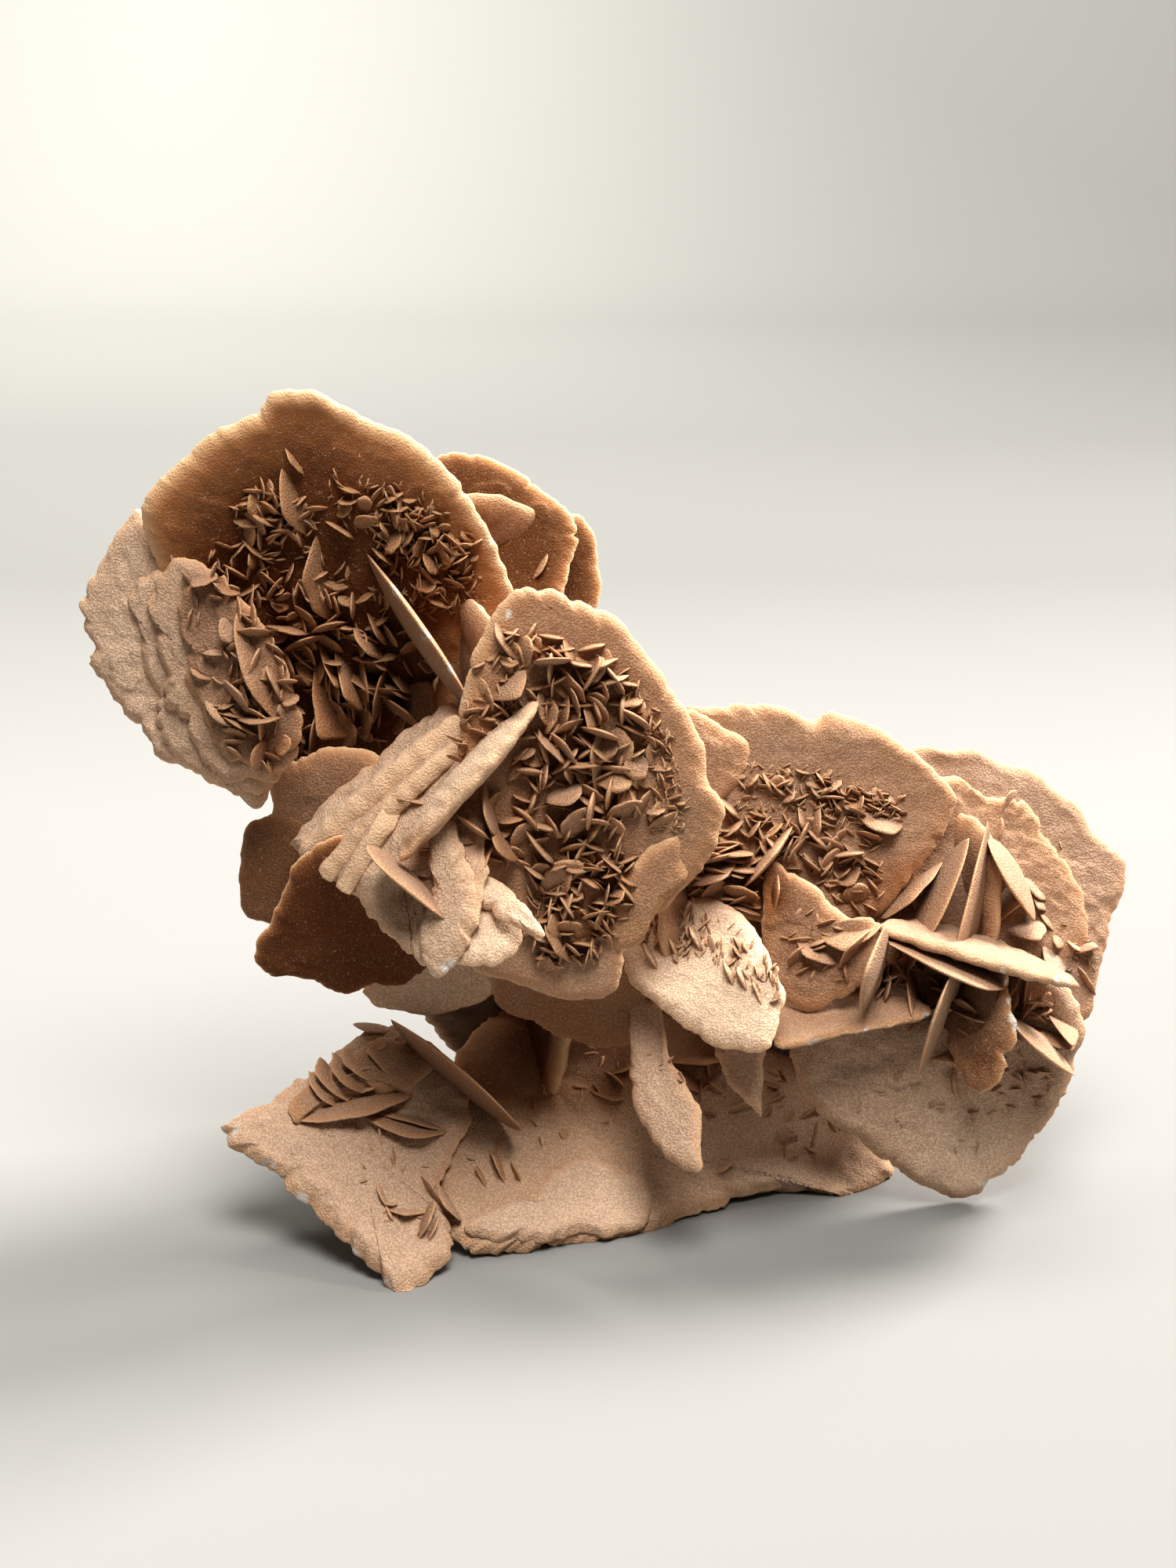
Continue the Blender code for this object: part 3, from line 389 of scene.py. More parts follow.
# Blades that stand on a host plate: (tip right, up, other tip right, up, rise, roll, thickness).
# A blade springs from the line between its tips towards the eye; roll turns it about that line.
BLADES = {
    "crown": (
        (-64.5, 72.5, -59, 65.5, 4, 22, 1.6), (-64.5, 68.5, -58.5, 52.5, 7, 40, 2.0),
        (-56.5, 55, -53, 34, 9, 38, 2.2), (-40, 64, -39.5, 55, 6, 9, 2.0),
        (-46.5, 59, -37, 58.5, 6, 4, 1.6), (-42, 56.5, -34, 54, 7, -9, 1.6),
        (-32.5, 54.5, -26, 47.5, 6, -11, 1.6), (-61.5, 58, -54, 58.5, 5, -7, 1.6),
        (-57.5, 57, -49, 52, 6, 9, 1.6), (-47.5, 52, -41, 47, 6, 9, 1.6),
        (-74.5, 53.5, -65, 46.5, 4, 16, 1.8), (-70, 34, -58, 32, 10, 7, 2.0),
        (-60, 31, -50, 34.5, 11, -4, 2.0), (-57.5, 31, -51, 22, 11, 14, 2.0),
        (-54, 30, -46, 17, 12, 22, 2.0), (-58, 28, -46, 13, 14, 45, 2.4),
        (-47.5, 38, -42.5, 30, 8, 11, 1.8), (-36, 42, -29, 38, 6, 14, 1.6),
        (-38, 48, -33, 40, 6, -14, 1.6),
        (-62, 44, -57, 38, 7, 14, 1.8), (-52, 14, -62, 9, 8, 18, 2.0),
        (-44, 26, -37, 20, 9, 9, 1.8),
    ),
    "cheek": (
        (-87, 51.5, -85.5, 44, 5, 27, 1.8), (-84.5, 29, -72, 23, 10, 26, 2.2),
        (-81.5, 24, -65, 9.5, 11, 34, 2.4), (-83, 35, -76, 32, 6, 11, 1.8),
    ),
    "nape": (
        (-8.5, 51, -12.5, 43, 4, -18, 1.8),
    ),
    "heart": (
        (-19.5, 35, -14.5, 26, 6, 18, 2.0), (-15, 31, -9.5, 28, 5, 9, 1.6),
        (-5.5, 33, -1, 24, 6, 18, 1.8), (-4, 28, 4, 30, 6, 4, 1.6),
        (-2.5, 22.5, 7, 27, 8, 4, 2.0), (-1.5, 19.5, 9, 23.5, 8, 7, 1.8),
        (-8, 26, -0.5, 14.5, 8, -20, 2.0), (-10, 22, -7, 12, 7, 20, 2.0),
        (-4.5, 20.5, -6.5, 11, 7, -14, 1.8), (-0.5, 20, 3.5, 9.5, 8, 16, 2.0),
        (-22, 18, -14, 26, 10, 26, 2.4), (-12, 12, -3, 3.5, 9, 9, 2.0),
        (-9, 9, 0, 13.5, 9, -7, 2.0), (-3.5, 12, 6, 5, 9, 11, 2.0), (4, 14, 3, -5, 9, 20, 2.2),
        (-4, 8.5, -1.5, -1.5, 8, 14, 1.8), (5, 13.5, 13.5, 9.5, 6, 4, 1.8),
        (8.5, 7.5, 11.5, -1.5, 6, 18, 1.8), (14, 2, 16.5, -6, 4, 22, 1.8),
        (-4.5, -0.5, 4.5, -6, 8, 9, 1.8), (10, -8, 14.5, -0.5, 6, -16, 1.8),
        (11.5, -11, 21, -6, 5, -25, 2.0), (-6, -13, -3.5, -6, 7, 9, 1.8),
        (-14, -8.5, -6, -10, 8, 4, 1.8), (-15, -16, -8, -20, 8, 7, 1.8),
        (-8, -15, 0, -14, 7, -9, 1.8), (-5, -18, 3, -22, 7, 9, 1.8),
        (-9, -27, -3, -38, 8, 18, 2.2), (-2, -25, 7, -28, 6, 7, 1.8),
        (3, -14, 9, -22, 5, 14, 1.8),
        (-22, -4, -14, -15.5, 12, 14, 2.2), (-22, 2, -18, -11, 12, 9, 2.2),
        (-30, -5, -20.5, -12, 12, -2, 2.0), (-26, -20.5, -20, -11, 11, 9, 2.0),
    ),
    "prow": (
        (-38.7, -2.5, -31.7, -4.8, 6, 9, 1.6),
    ),
    "wing": (
        (45, -3.5, 47, -11, 6, 14, 1.8), (49, -3, 47.5, -13, 7, -16, 1.8),
        (54, -4, 67.5, -8, 8, 31, 2.2), (47.5, -2.5, 53.5, 1.5, 5, 20, 1.8),
        (27, -2, 33, -8, 7, 7, 1.8), (38, 2, 43, -3, 5, 9, 1.6), (54, -12, 60, -18, 6, 9, 1.8),
        (56, -10, 63, -12, 6, -9, 1.6), (36, -9, 40, -16, 7, 14, 1.8),
        (22, -17, 30, -20, 9, -4, 1.8),
    ),
    "tail": (
        (86, -14, 87, -6.5, 6, 14, 1.8), (87.5, -10, 92, -2, 7, -18, 1.8),
        (94, -24, 101, -33, 6, 11, 2.0), (100, -31, 107, -36, 6, 9, 1.8),
        (103, -38, 108, -45, 5, -14, 1.8),
    ),
    "gable": (
        (40, -19, 39.5, -28, 5, -14, 2.0), (61, -30.5, 53, -40, 8, 9, 2.4),
        (49, -31, 62.5, -30, 8, 32, 2.2), (44, -32, 55, -38, 6, 32, 2.2),
    ),
    "fan": (
        (68, -37, 72, -50, 14, 11, 2.2), (75, -47, 87, -50, 14, 4, 1.8),
        (71, -58, 84.5, -55, 9, 25, 2.0), (78, -58, 79, -66.5, 6, 9, 1.8),
        (91, -50, 104, -54.5, 11, 14, 2.2),
    ),
    "apron": (
        (12, -33, 16, -41, 5, 9, 2.0), (17, -31, 20, -39, 5, 11, 1.8),
        (22, -30, 25, -37, 5, 7, 1.8), (29, -37, 32, -45, 5, 9, 1.8),
        (32, -38, 35, -46, 5, 7, 1.8), (35, -41, 38, -49, 4, 9, 1.8),
    ),
    "sole": (
        (16, -59, 28.5, -57.5, 14, 9, 1.8), (20, -60, 26, -66, 12, 18, 1.8),
        (-2, -63, 10, -66, 8, 14, 2.0),
    ),
    "heel": (
        (-48, -69.5, -28.5, -74, 6, 9, 2.0), (-43.5, -72, -43.5, -79, 4, 14, 1.6),
        (-42.5, -89, -39, -95.5, 4, 9, 1.6), (-41, -76, -40, -85, 4, 14, 1.4),
        (-31.5, -90, -36, -100, 4, -9, 1.6), (-58, -67, -42, -60, 6, -14, 2.0),
        (-50, -58, -40, -53, 6, 9, 1.8), (-50, -51, -41, -52.5, 5, 14, 2.0),
    ),
}

# Blades that stand on the rear faces: host -> (count, shortest, longest), spread by REAR_SEED.
REAR_BLADES = {
    "back_crown": (9, 8, 15),
    "back_heart": (7, 8, 14),
    "back_wing": (9, 8, 15),
    "back_foot": (4, 7, 12),
}

# How ragged and how bowed the plates are, their tone from pinkish (0) to golden (1), their
# shade, and how far in from the rim the painted glow of light through a thin rim reaches, where
# they differ from the usual: name -> (raggedness, bow, tone, shade, glow). The shade was set plate
# by plate to how lit each plate looks: below 0 it paints a plate paler, as painted light, and
# towards 1 it darkens it, partly to the crystal's own deeper brown and partly as painted shade.
USUAL = (1.0, 0.5, 0.45, 0.12, 2.2)
CHARACTER = {
    "crown": (0.9, 0.7, 1.0, 0.95, 6.0),
    "cheek": (1.3, 0.25, 0.2, -0.6, 1.5),
    "cheek_ledge": (1.1, 0.15, 0.25, -0.5, 1.0),
    "cheek_scale": (1.1, 0.15, 0.35, -0.35, 1.0),
    "cheek_crest": (1.1, 0.15, 0.35, 0.15, 1.0),
    "nape": (0.8, 0.4, 0.0, 0.95, 1.5),
    "nape_lower": (0.8, 0.4, 0.0, 0.95, 1.5),
    "heart": (0.9, 0.5, 0.55, 0.15, 3.5),
    "heart_flap": (0.9, 0.3, 0.6, 0.1, 2.5),
    "chin": (0.8, 0.4, 0.5, -0.1, 2.5),
    "prow": (1.6, 0.4, 0.2, -0.45, 1.5),
    "post": (1.2, 0.3, 0.2, -0.5, 1.5),
    "spur": (1.0, 0.3, 0.2, -0.8, 1.0),
    "shield": (1.0, 0.3, 0.2, -1.0, 1.0),
    "collar": (1.2, 0.5, 0.5, 0.3, 2.0),
    "ear": (0.6, 0.4, 0.9, 0.5, 0.7),
    "keel": (1.0, 0.6, 1.0, 0.9, 0.6),
    "keel_lower": (0.8, 0.5, 0.6, -0.6, 1.0),
    "arch": (1.0, 0.5, 0.8, 0.2, 1.0),
    "wing": (0.8, 0.5, 0.45, 0.15, 2.5),
    "curtain": (1.8, 0.3, 0.45, 0.4, 0.8),
    "shelf": (1.0, 0.2, 0.35, 0.1, 1.0),
    "gable": (0.8, 0.3, 0.45, 0.25, 2.0),
    "tail": (0.8, 0.6, 0.05, 0.25, 1.5),
    "fan": (1.1, 0.3, 0.35, -0.4, 1.5),
    "heel": (1.8, 0.3, 0.2, -0.35, 1.5),
    "sole": (1.4, 0.3, 0.9, -0.45, 1.5),
    "sole_lobe": (1.2, 0.4, 0.1, -0.45, 1.0),
    "apron": (1.0, 0.3, 0.15, -0.75, 1.0),
    "tongue": (1.0, 0.3, 0.2, -0.35, 1.5),
    "tooth": (1.0, 0.3, 0.3, -0.2, 1.5),
}

# The big blades, where they differ from the usual: name -> (edge, evenness, tone, shade). The
# lower its edge, the blunter a blade is; the lower its evenness, the less its tips thin out.
# Shade works as on the plates: below 0 it is painted light, as on the beam and the prow slabs,
# and above 0 it is partly the crystal's deeper brown and partly painted shade.
USUAL_KNIFE = (1.1, 0.6, 0.3, 0.0)
KNIFE_CHARACTER = {
    "crown_knife": (1.1, 0.6, 0.4, 0.1),
    "crown_leaf": (1.3, 0.7, 0.5, 0.3),
    "beam": (0.85, 0.4, 0.2, -0.6),
    "prow_slab": (0.22, 0.14, 0.0, -0.75),
    "prow_slab_inner": (0.22, 0.14, 0.15, -0.55),
    "prow_slab_short": (0.22, 0.14, 0.15, -0.5),
    "lintel": (0.6, 0.35, 0.3, 0.0),
    "sail": (1.1, 0.6, 0.35, 0.2),
    "sail_inner": (1.1, 0.6, 0.35, 0.2),
    "low_knife": (1.3, 0.7, 0.4, 0.3),
}

# Smaller blades between the drawn ones, laid out like BLADES.
SMALL_BLADES = {
    "tail": (
        (91.5, -15.5, 99.5, -24, 9, 20, 2.4), (84, -31, 88, -21.5, 15, 24, 2.4),
        (86.5, -30.5, 95.5, -28, 13, 24, 2.2), (96.5, -32, 103, -38.5, 12, 20, 2.4),
        (99.5, -30, 102.5, -34, 9, 20, 1.8), (102, -36, 107, -33.5, 8, 14, 1.8),
        (93.5, -21, 98.5, -26.5, 8, 16, 2.0),
    ),
    "wing": (
        (62, -29, 75.5, -16.5, 8, 16, 1.8),
    ),
    "fan": (
        (97, -48, 104, -52, 14, 14, 1.8), (84, -66, 88, -63, 4, 20, 1.6),
        (62, -62, 68, -59, 4, 25, 1.6), (94, -60, 99, -64, 4, -20, 1.6),
    ),
    "cheek_crest": (
        (-74, 37.5, -64.5, 11.5, 8, 32, 2.8),
    ),
    "heel_ledge": (
        (-62, -71.5, -37, -66, 6, 28, 2.6), (-57, -58, -50, -68, 6, 24, 2.0),
        (-54.5, -57, -47, -66, 7, 24, 2.0), (-51.5, -56, -44, -64, 7, 20, 2.0),
        (-59.5, -61, -53, -69, 5, 24, 1.8), (-49, -70, -30, -74, 6, 24, 2.4),
        (-46, -56, -41, -63, 5, 20, 1.8),
    ),
    "heel": (
        (-43, -90, -33, -90.5, 6, 10, 2.0),
        (-37, -98, -33, -88, 6, 16, 2.0), (-32, -85, -27, -93, 5, 12, 1.8),
        (-36, -83, -30, -91, 5, -14, 1.8), (-44, -84, -41, -92, 5, 14, 1.8),
    ),
    "sole": (
        (-20, -78, -16.5, -87, 6, 12, 1.8), (-23, -81, -20, -88, 5, 12, 1.6),
        (-17, -80, -14, -86, 5, -10, 1.6), (18, -77, 24, -75, 5, 14, 1.8),
        (24, -84, 30, -80, 5, 12, 1.8), (2, -62, 10, -58, 6, 14, 1.8),
    ),
    "crown": (
        (-70, 62, -64, 57, 4, 14, 1.6), (-34, 58, -32, 51, 5, 14, 1.6),
        (-54, 64, -47, 62, 5, 9, 1.6),
    ),
}

# White, broken places: right, up, size, in millimetres on the drawing plane.
FROST = (
    (-32, -40.5, 2.6), (-30, -38, 2.0), (-36, -37, 1.6), (-75, -73, 3.0), (-68, -81, 2.2),
    (-61, -88, 1.8), (-50, -100, 2.0), (-43, -107, 2.6), (-41, 41, 2.0), (-35, 31, 2.6),
    (-30, 24, 2.4), (-27, 19, 1.8), (82, -34, 1.8), (88, -36, 2.2), (95, -38, 2.2),
    (101, -41, 2.4), (88, -40, 1.0), (89.5, -46, 1.0), (91, -52, 1.3), (89, -58, 1.0),
    (88, -42, 1.6), (90, -50, 1.6), (72, -49.5, 1.8), (60, -52.5, 1.6),
    (48, -55, 1.6), (84, -85, 2.2), (88, -82.5, 2.0), (-17, 36, 1.4),
    (-20, 51, 1.6),
)

# Painted shade at deeper places, mostly in recesses and under overhangs, and painted light at
# paler ones: right, up, size, how much deeper the shade is (painted paler below 0), and the depth
# behind the drawing plane where they start.
PAINTED_SHADE_AND_LIGHT = (
    (-10, -55, 12, 1.1, 22), (-23, -62, 9, 0.6, 22), (8, -54, 11, 1.1, 22),
    (80, -80, 11, -0.55, 8), (42, -76, 13, -0.5, 22), (-18, -76, 8, -0.3, 22),
    (-36.5, -13, 3.2, 1.0, -40), (-40, -25.5, 2.6, 0.6, -40), (-57, 18, 9, 0.7, 6),
    (-68, 9, 6, 0.6, -30), (-75, 44, 9, 0.4, -30), (74, -44, 7, 0.7, 8), (84, -58, 5, 0.4, -30),
    (58, -42, 6, 0.4, 8), (38, -24, 5, 1.0, 0), (66, -20, 5, 0.6, 8), (-14, -52, 7, 0.4, 22),
)

# Rims that are scalloped: name -> (depth, width of a scallop).
SCALLOPED = {
    "cheek_ledge": (1.3, 4.5),
    "cheek_scale": (1.5, 5.5),
    "tail_scale": (1.2, 8.0),
    "wing_scale": (0.4, 7.0),
    "heel_ledge": (0.6, 8.0),
    "sole_lobe": (0.8, 12.0),
    "cheek": (0.35, 9.0),
}

# Thickets of blades: (host, count, shortest, longest, flattest, steepest, heading, spread,
# lift, outline). Headings are from level, in degrees, within their spread; lift is how far the
# topmost blades are heaped up off the host.
THICKETS = {
    "left": (
        ("crown", 120, 2.5, 7.0, 10, 60, 0, 90, 2.5, (
            (-82, 54), (-74, 52), (-60, 50), (-50, 46), (-42, 40), (-46, 30), (-60, 30),
            (-72, 34), (-80, 38))),
        ("crown", 230, 2.2, 5.5, 10, 60, 0, 90, 3.0, (
            (-55.5, 66.7), (-41.7, 66.7), (-31.7, 60), (-23, 51.7), (-25, 38.3), (-31.7, 35),
            (-38.3, 40), (-46.7, 50), (-55, 58.3))),
        ("crown", 60, 3.0, 8.0, 10, 60, 0, 90, 2.0, (
            (-76, 58.3), (-70, 64.7), (-58.3, 60), (-58.3, 50), (-68.3, 50), (-75, 53.3))),
        ("crown", 120, 4.0, 11.0, 10, 65, -40, 70, 6.0, (
            (-80, 36), (-70, 37), (-55, 36), (-45, 42), (-31.7, 27), (-26.7, 16.7), (-35, 14),
            (-45, 9), (-58.3, 4), (-70, 9), (-78, 23.3))),
        ("crown", 22, 1.0, 2.2, 10, 60, 0, 90, 0.0, (
            (-58, 72), (-42, 72), (-29, 61), (-20.5, 47), (-22, 34), (-28, 33), (-24, 48),
            (-40, 68))),
        ("cheek_crest", 80, 3.0, 10.0, 10, 60, -45, 60, 2.5, (
            (-86, 46), (-78, 46), (-66, 32), (-60, 10), (-68, 2), (-76, 6), (-79, 20), (-84, 34))),
    ),
    "heart": (
        ("heart", 190, 4.0, 9.5, 5, 65, 0, 90, 4.5, (
            (-18.5, 33.5), (-4.3, 32), (5.5, 27), (12, 18), (15, 6), (17, -6), (9, -12),
            (3, -20), (-6, -24), (-14, -24), (-22, -14), (-20, 2), (-10, 14), (-16.7, 25.8))),
        ("heart", 130, 2.0, 4.5, 5, 60, 0, 90, 2.0, (
            (4, 26), (11, 21), (16.5, 12), (19.5, 3), (22, -5), (19, -9.5), (13, -9), (14, 0),
            (10, 12), (4, 19))),
        ("heart", 95, 3.5, 8.0, 5, 60, 10, 80, 3.5, (
            (-2, -15), (8, -12), (11, -21.5), (6.3, -31.5), (-1.3, -38), (-9, -38.5),
            (-15.2, -32.3), (-12, -24))),
        ("heart", 60, 3.0, 6.0, 5, 60, 0, 90, 1.0, (
            (-26, 22), (-18, 33), (-12, 28), (-14, 16), (-24, 4), (-30, 6))),
        ("heart", 60, 0.8, 1.8, 10, 60, 0, 90, 0.0, (
            (-12, 39), (0, 36), (10, 28), (19, 14), (23, 3), (26, -6), (22, -16), (14, -22),
            (16, -6), (12, 14), (2, 27), (-8, 32))),
        ("prow", 26, 2.0, 5.0, 5, 60, 0, 90, 1.0, (
            (-33, -6), (-26, -2), (-24, -14), (-27, -26), (-33, -30), (-37, -22))),
    ),
    "right": (
        ("wing", 190, 2.0, 5.5, 5, 60, 0, 80, 2.5, (
            (24.7, 3.2), (32.2, 4), (46.2, 4), (55.2, 1), (66.3, -2.7), (67, -8.7),
            (59.7, -10.2), (50, -8), (40, -5), (30, -6))),
        ("wing", 120, 3.0, 7.5, 5, 60, 0, 70, 3.0, (
            (28, -6), (40, -6), (52, -8), (61, -12), (62.7, -22.8), (56.7, -28.7),
            (52.2, -24.3), (43.3, -18.3), (34.3, -20.5), (24, -16))),
        ("wing", 44, 5.0, 11.0, 5, 35, 8, 30, 5.0, (
            (19, -10), (29, -8), (36, -16), (34, -27), (26, -26), (17, -18))),
        ("apron", 150, 2.2, 5.5, 10, 50, 75, 45, 2.0, (
            (12, -26), (20, -24), (27, -29), (35, -33.3), (40, -39), (41.7, -47), (37, -46),
            (31, -42), (25, -37), (19, -38), (12, -34))),
        ("gable", 22, 3.0, 8.0, 10, 60, 40, 60, 1.5, (
            (42, -26), (52, -28), (58, -34), (56, -42), (47, -44), (42, -36))),
        ("fan", 70, 4.0, 11.0, 10, 60, 0, 90, 8.0, (
            (54, -38), (66, -36), (84, -36), (96, -42), (98, -50), (86, -56), (70, -52),
            (58, -46))),
        ("fan", 46, 1.2, 3.0, 10, 60, 0, 90, 0.5, (
            (50, -58), (70, -60), (90, -58), (100, -62), (92, -76), (78, -84), (62, -76),
            (50, -68))),
        ("fan", 36, 2.0, 4.5, 10, 50, -30, 60, 1.5, (
            (84, -52), (100, -52), (101, -62), (95, -72), (88, -68), (86, -60))),
        ("tail", 44, 2.0, 5.0, 10, 60, -30, 70, 1.5, (
            (90, -10), (98, -16), (104, -26), (108, -38), (104, -46), (98, -40), (96, -28),
            (88, -20))),
        ("tail", 14, 1.2, 2.6, 10, 60, 0, 90, 0.0, (
            (72, 2), (90, -1), (104, -12), (110, -28), (100, -24), (86, -8))),
    ),
    "base": (
        ("heel", 30, 1.6, 4.0, 10, 60, -60, 70, 0.4, (
            (-52, -72), (-44, -66), (-32, -70), (-32, -84), (-34, -96), (-42, -98), (-50, -88))),
        ("heel", 14, 4.0, 9.0, 15, 50, 25, 25, 1.5, (
            (-60, -66), (-50, -60), (-40, -58), (-42, -64), (-52, -68))),
        ("sole", 60, 2.0, 6.0, 10, 60, 0, 90, 1.0, (
            (14, -62), (30, -56), (46, -62), (56, -72), (50, -82), (34, -80), (20, -72))),
        ("sole", 34, 2.0, 6.0, 10, 60, -50, 60, 0.6, (
            (-24, -60), (0, -54), (12, -62), (4, -74), (-14, -82), (-26, -84))),
        ("tongue", 8, 1.5, 3.0, 10, 60, 0, 90, 0.4, (
            (12, -52), (20, -60), (22, -74), (14, -70))),
    ),
}

# Flakes that lie on a plate and overlap like roof tiles: plate -> sets of (count, smallest,
# largest, heading that they rise towards, spread, height, outline).
TILES = {
    "cheek": (
        (60, 5, 14, 200, 40, 0.5, (
            (-99, 52), (-91, 50), (-92, 38), (-94, 26), (-88, 12), (-76, 2), (-80, -2), (-92, 8),
            (-103, 22), (-108, 36), (-104, 48))),
        (26, 2.5, 5, 200, 50, 0.35, (
            (-97, 50), (-92, 50), (-95, 30), (-90, 12), (-97, 14), (-101, 30))),
    ),
    "cheek_ledge": (
        (60, 3, 9, 205, 45, 0.6, (
            (-97, 44), (-86, 48), (-80, 40), (-78, 20), (-72, 4), (-84, 0), (-94, 12), (-98, 30))),),
    "cheek_scale": (
        (70, 2.5, 8, 205, 50, 0.6, (
            (-94, 42), (-84, 48), (-76, 38), (-74, 20), (-68, 4), (-80, 2), (-91, 14), (-94, 30))),),
    "cheek_crest": (
        (50, 2.5, 7, 205, 50, 0.6, (
            (-88, 42), (-78, 44), (-70, 32), (-66, 14), (-74, 4), (-84, 14), (-88, 26))),),
    "crown": (
        (70, 3.5, 9, 120, 60, 0.6, (
            (-92, 52), (-84, 60), (-70, 58), (-56, 46), (-44, 42), (-34, 30), (-40, 16), (-56, 20),
            (-70, 30), (-86, 38))),
        (26, 3, 7, 60, 70, 0.35, (
            (-70, 66), (-58, 74), (-42, 70), (-30, 58), (-40, 60), (-56, 66))),
    ),
    "nape": (
        (14, 5, 12, 60, 60, 0.7, (
            (-22, 66), (-10, 60), (-5, 48), (-8, 36), (-18, 36), (-22, 50))),),
    "tail": (
        (40, 5, 14, 20, 60, 0.35, (
            (72, 6), (96, 0), (112, -16), (108, -40), (100, -36), (90, -14), (74, -2))),
        (30, 3, 8, 300, 50, 0.5, (
            (98, -16), (108, -20), (110, -34), (104, -46), (98, -36))),
    ),
    "tail_scale": (
        (44, 3, 9, 45, 60, 0.6, (
            (70, 0), (80, 0), (90, -4), (98, -14), (102, -26), (96, -34), (84, -18), (72, -8))),),
    "fan": (
        (60, 4, 12, 250, 80, 0.4, (
            (48, -50), (100, -52), (100, -70), (84, -84), (72, -84), (52, -70))),
        (18, 4, 8, 255, 40, 0.9, (
            (50, -52), (66, -52), (70, -60), (58, -64), (48, -60))),
    ),
    "gable": (
        (16, 4, 10, 220, 60, 0.7, (
            (40, -24), (50, -30), (54, -40), (46, -44), (38, -36))),),
    "heel": (
        (40, 3, 9, 150, 70, 0.5, (
            (-70, -74), (-50, -62), (-34, -62), (-34, -84), (-40, -100), (-54, -90))),
        (26, 1.5, 4, 220, 60, 0.7, (
            (-74, -74), (-66, -74), (-44, -98), (-42, -106), (-56, -92))),
    ),
    "sole": (
        (60, 4, 12, 240, 70, 0.5, (
            (-24, -56), (0, -54), (40, -62), (58, -74), (50, -84), (20, -88), (-20, -88))),),
    "sole_lobe": (
        (12, 6, 12, 250, 50, 0.5, (
            (-20, -94), (-8, -84), (8, -84), (10, -93), (-6, -96))),),
    "keel": (
        (14, 6, 14, 250, 60, 0.4, (
            (-66, -24), (-44, -16), (-36, -36), (-58, -40))),),
    "wing_scale": (
        (6, 5, 9, 60, 50, 0.4, (
            (22, 10), (32, 8), (30, 0), (20, -2))),),
}

# The plates and ledges of each piece.
LEFT = ("crown", "cheek", "cheek_ledge", "cheek_scale", "cheek_crest", "nape", "nape_lower")
MIDDLE = ("heart", "heart_flap", "chin", "prow", "post", "spur", "shield")
UNDER = ("collar", "ear", "keel", "keel_lower", "arch", "tongue", "tooth")
RIGHT_HAND = ("wing", "wing_scale", "tail", "tail_scale", "gable", "shelf", "curtain", "apron")
BASE = ("fan", "heel", "heel_ledge", "sole", "sole_lobe")


def unit(vectors):
    """The vectors at length 1."""
    return vectors / np.linalg.norm(vectors, axis=-1, keepdims=True)


def facing(turn, tilt):
    """Normal of a plane turned right and tilted up from squarely facing the eye."""
    turn, tilt = radians(turn), radians(tilt)
    level = RIGHT * sin(turn) - AHEAD * cos(turn)
    return level * cos(tilt) + UPWARD * sin(tilt)


def at_depth(right, up, depth):
    """The spot on a line of sight at a depth behind the drawing plane."""
    return EYE + (right * RIGHT + up * UPWARD - EYE) * (1.0 + depth / STATION_DISTANCE)


def plane_of(name):
    """A point and the normal of the plane that a plate or a ledge lies in."""
    if name in LEDGES:
        host, lift = LEDGES[name][:2]
        place, normal = plane_of(host)
        return place + lift * normal, normal
    depth, turn, tilt, _, outline = PLATES[name]
    right, up = np.mean(outline, axis=0)
    return at_depth(right, up, depth), facing(turn, tilt)


def carried(points, plane):
    """Points of the drawing plane, carried along the lines of sight on to a plane."""
    place, normal = plane
    points = np.asarray(points, dtype=float)
    sight = points[:, :1] * RIGHT + points[:, 1:] * UPWARD - EYE
    reach = (place - EYE) @ normal / (sight @ normal)
    return EYE + sight * reach[:, None]


def drawn(spots):
    """Where spots in space appear on the drawing plane: right and up, in millimetres."""
    sight = spots - EYE
    scale = STATION_DISTANCE / (sight @ AHEAD)
    return np.stack((sight @ RIGHT * scale, sight @ UPWARD * scale), axis=-1)


def waves(spots, length, chance, count=18):
    """Smooth noise of about -1 to 1: the mean of count plane waves cos(k.x + phase), whose
    wave vectors k point anywhere and have lengths near 2 pi / length."""
    heading = unit(chance.normal(size=(count, spots.shape[-1])))
    k = heading * (2.0 * pi / length) * chance.uniform(0.7, 1.4, (count, 1))
    phase = chance.uniform(0.0, 2.0 * pi, count)
    return np.cos(spots @ k.T + phase).sum(axis=-1) / np.sqrt(count) * 0.9


def step(x, low, high):
    """0 below low, 1 above high, and the cubic 3 t^2 - 2 t^3 between."""
    t = np.clip((x - low) / (high - low), 0.0, 1.0)
    return t * t * (3.0 - 2.0 * t)


def smooth_ring(points, spacing):
    """A closed curve through the points: on each side the cubic
    p1 + s/2 (p2 - p0) + s^2/2 (2 p0 - 5 p1 + 4 p2 - p3) + s^3/2 (3 p1 - p0 - 3 p2 + p3),
    read at spots equally far apart along it."""
    s = np.linspace(0.0, 1.0, CURVE_STEPS, endpoint=False)[None, :, None]
    p0, p1, p2, p3 = (np.roll(points, shift, axis=0)[:, None, :] for shift in (1, 0, -1, -2))
    curve = p1 + s / 2.0 * (p2 - p0) + s**2 / 2.0 * (2.0 * p0 - 5.0 * p1 + 4.0 * p2 - p3)
    curve = (curve + s**3 / 2.0 * (3.0 * p1 - p0 - 3.0 * p2 + p3)).reshape(-1, points.shape[1])
    closed = np.vstack((curve, curve[:1]))
    along = np.concatenate(((0.0,), np.linalg.norm(np.diff(closed, axis=0), axis=1).cumsum()))
    count = int(along[-1] / spacing)
    wanted = np.linspace(0.0, along[-1], count, endpoint=False)
    return np.stack([np.interp(wanted, along, axis) for axis in closed.T], axis=1)


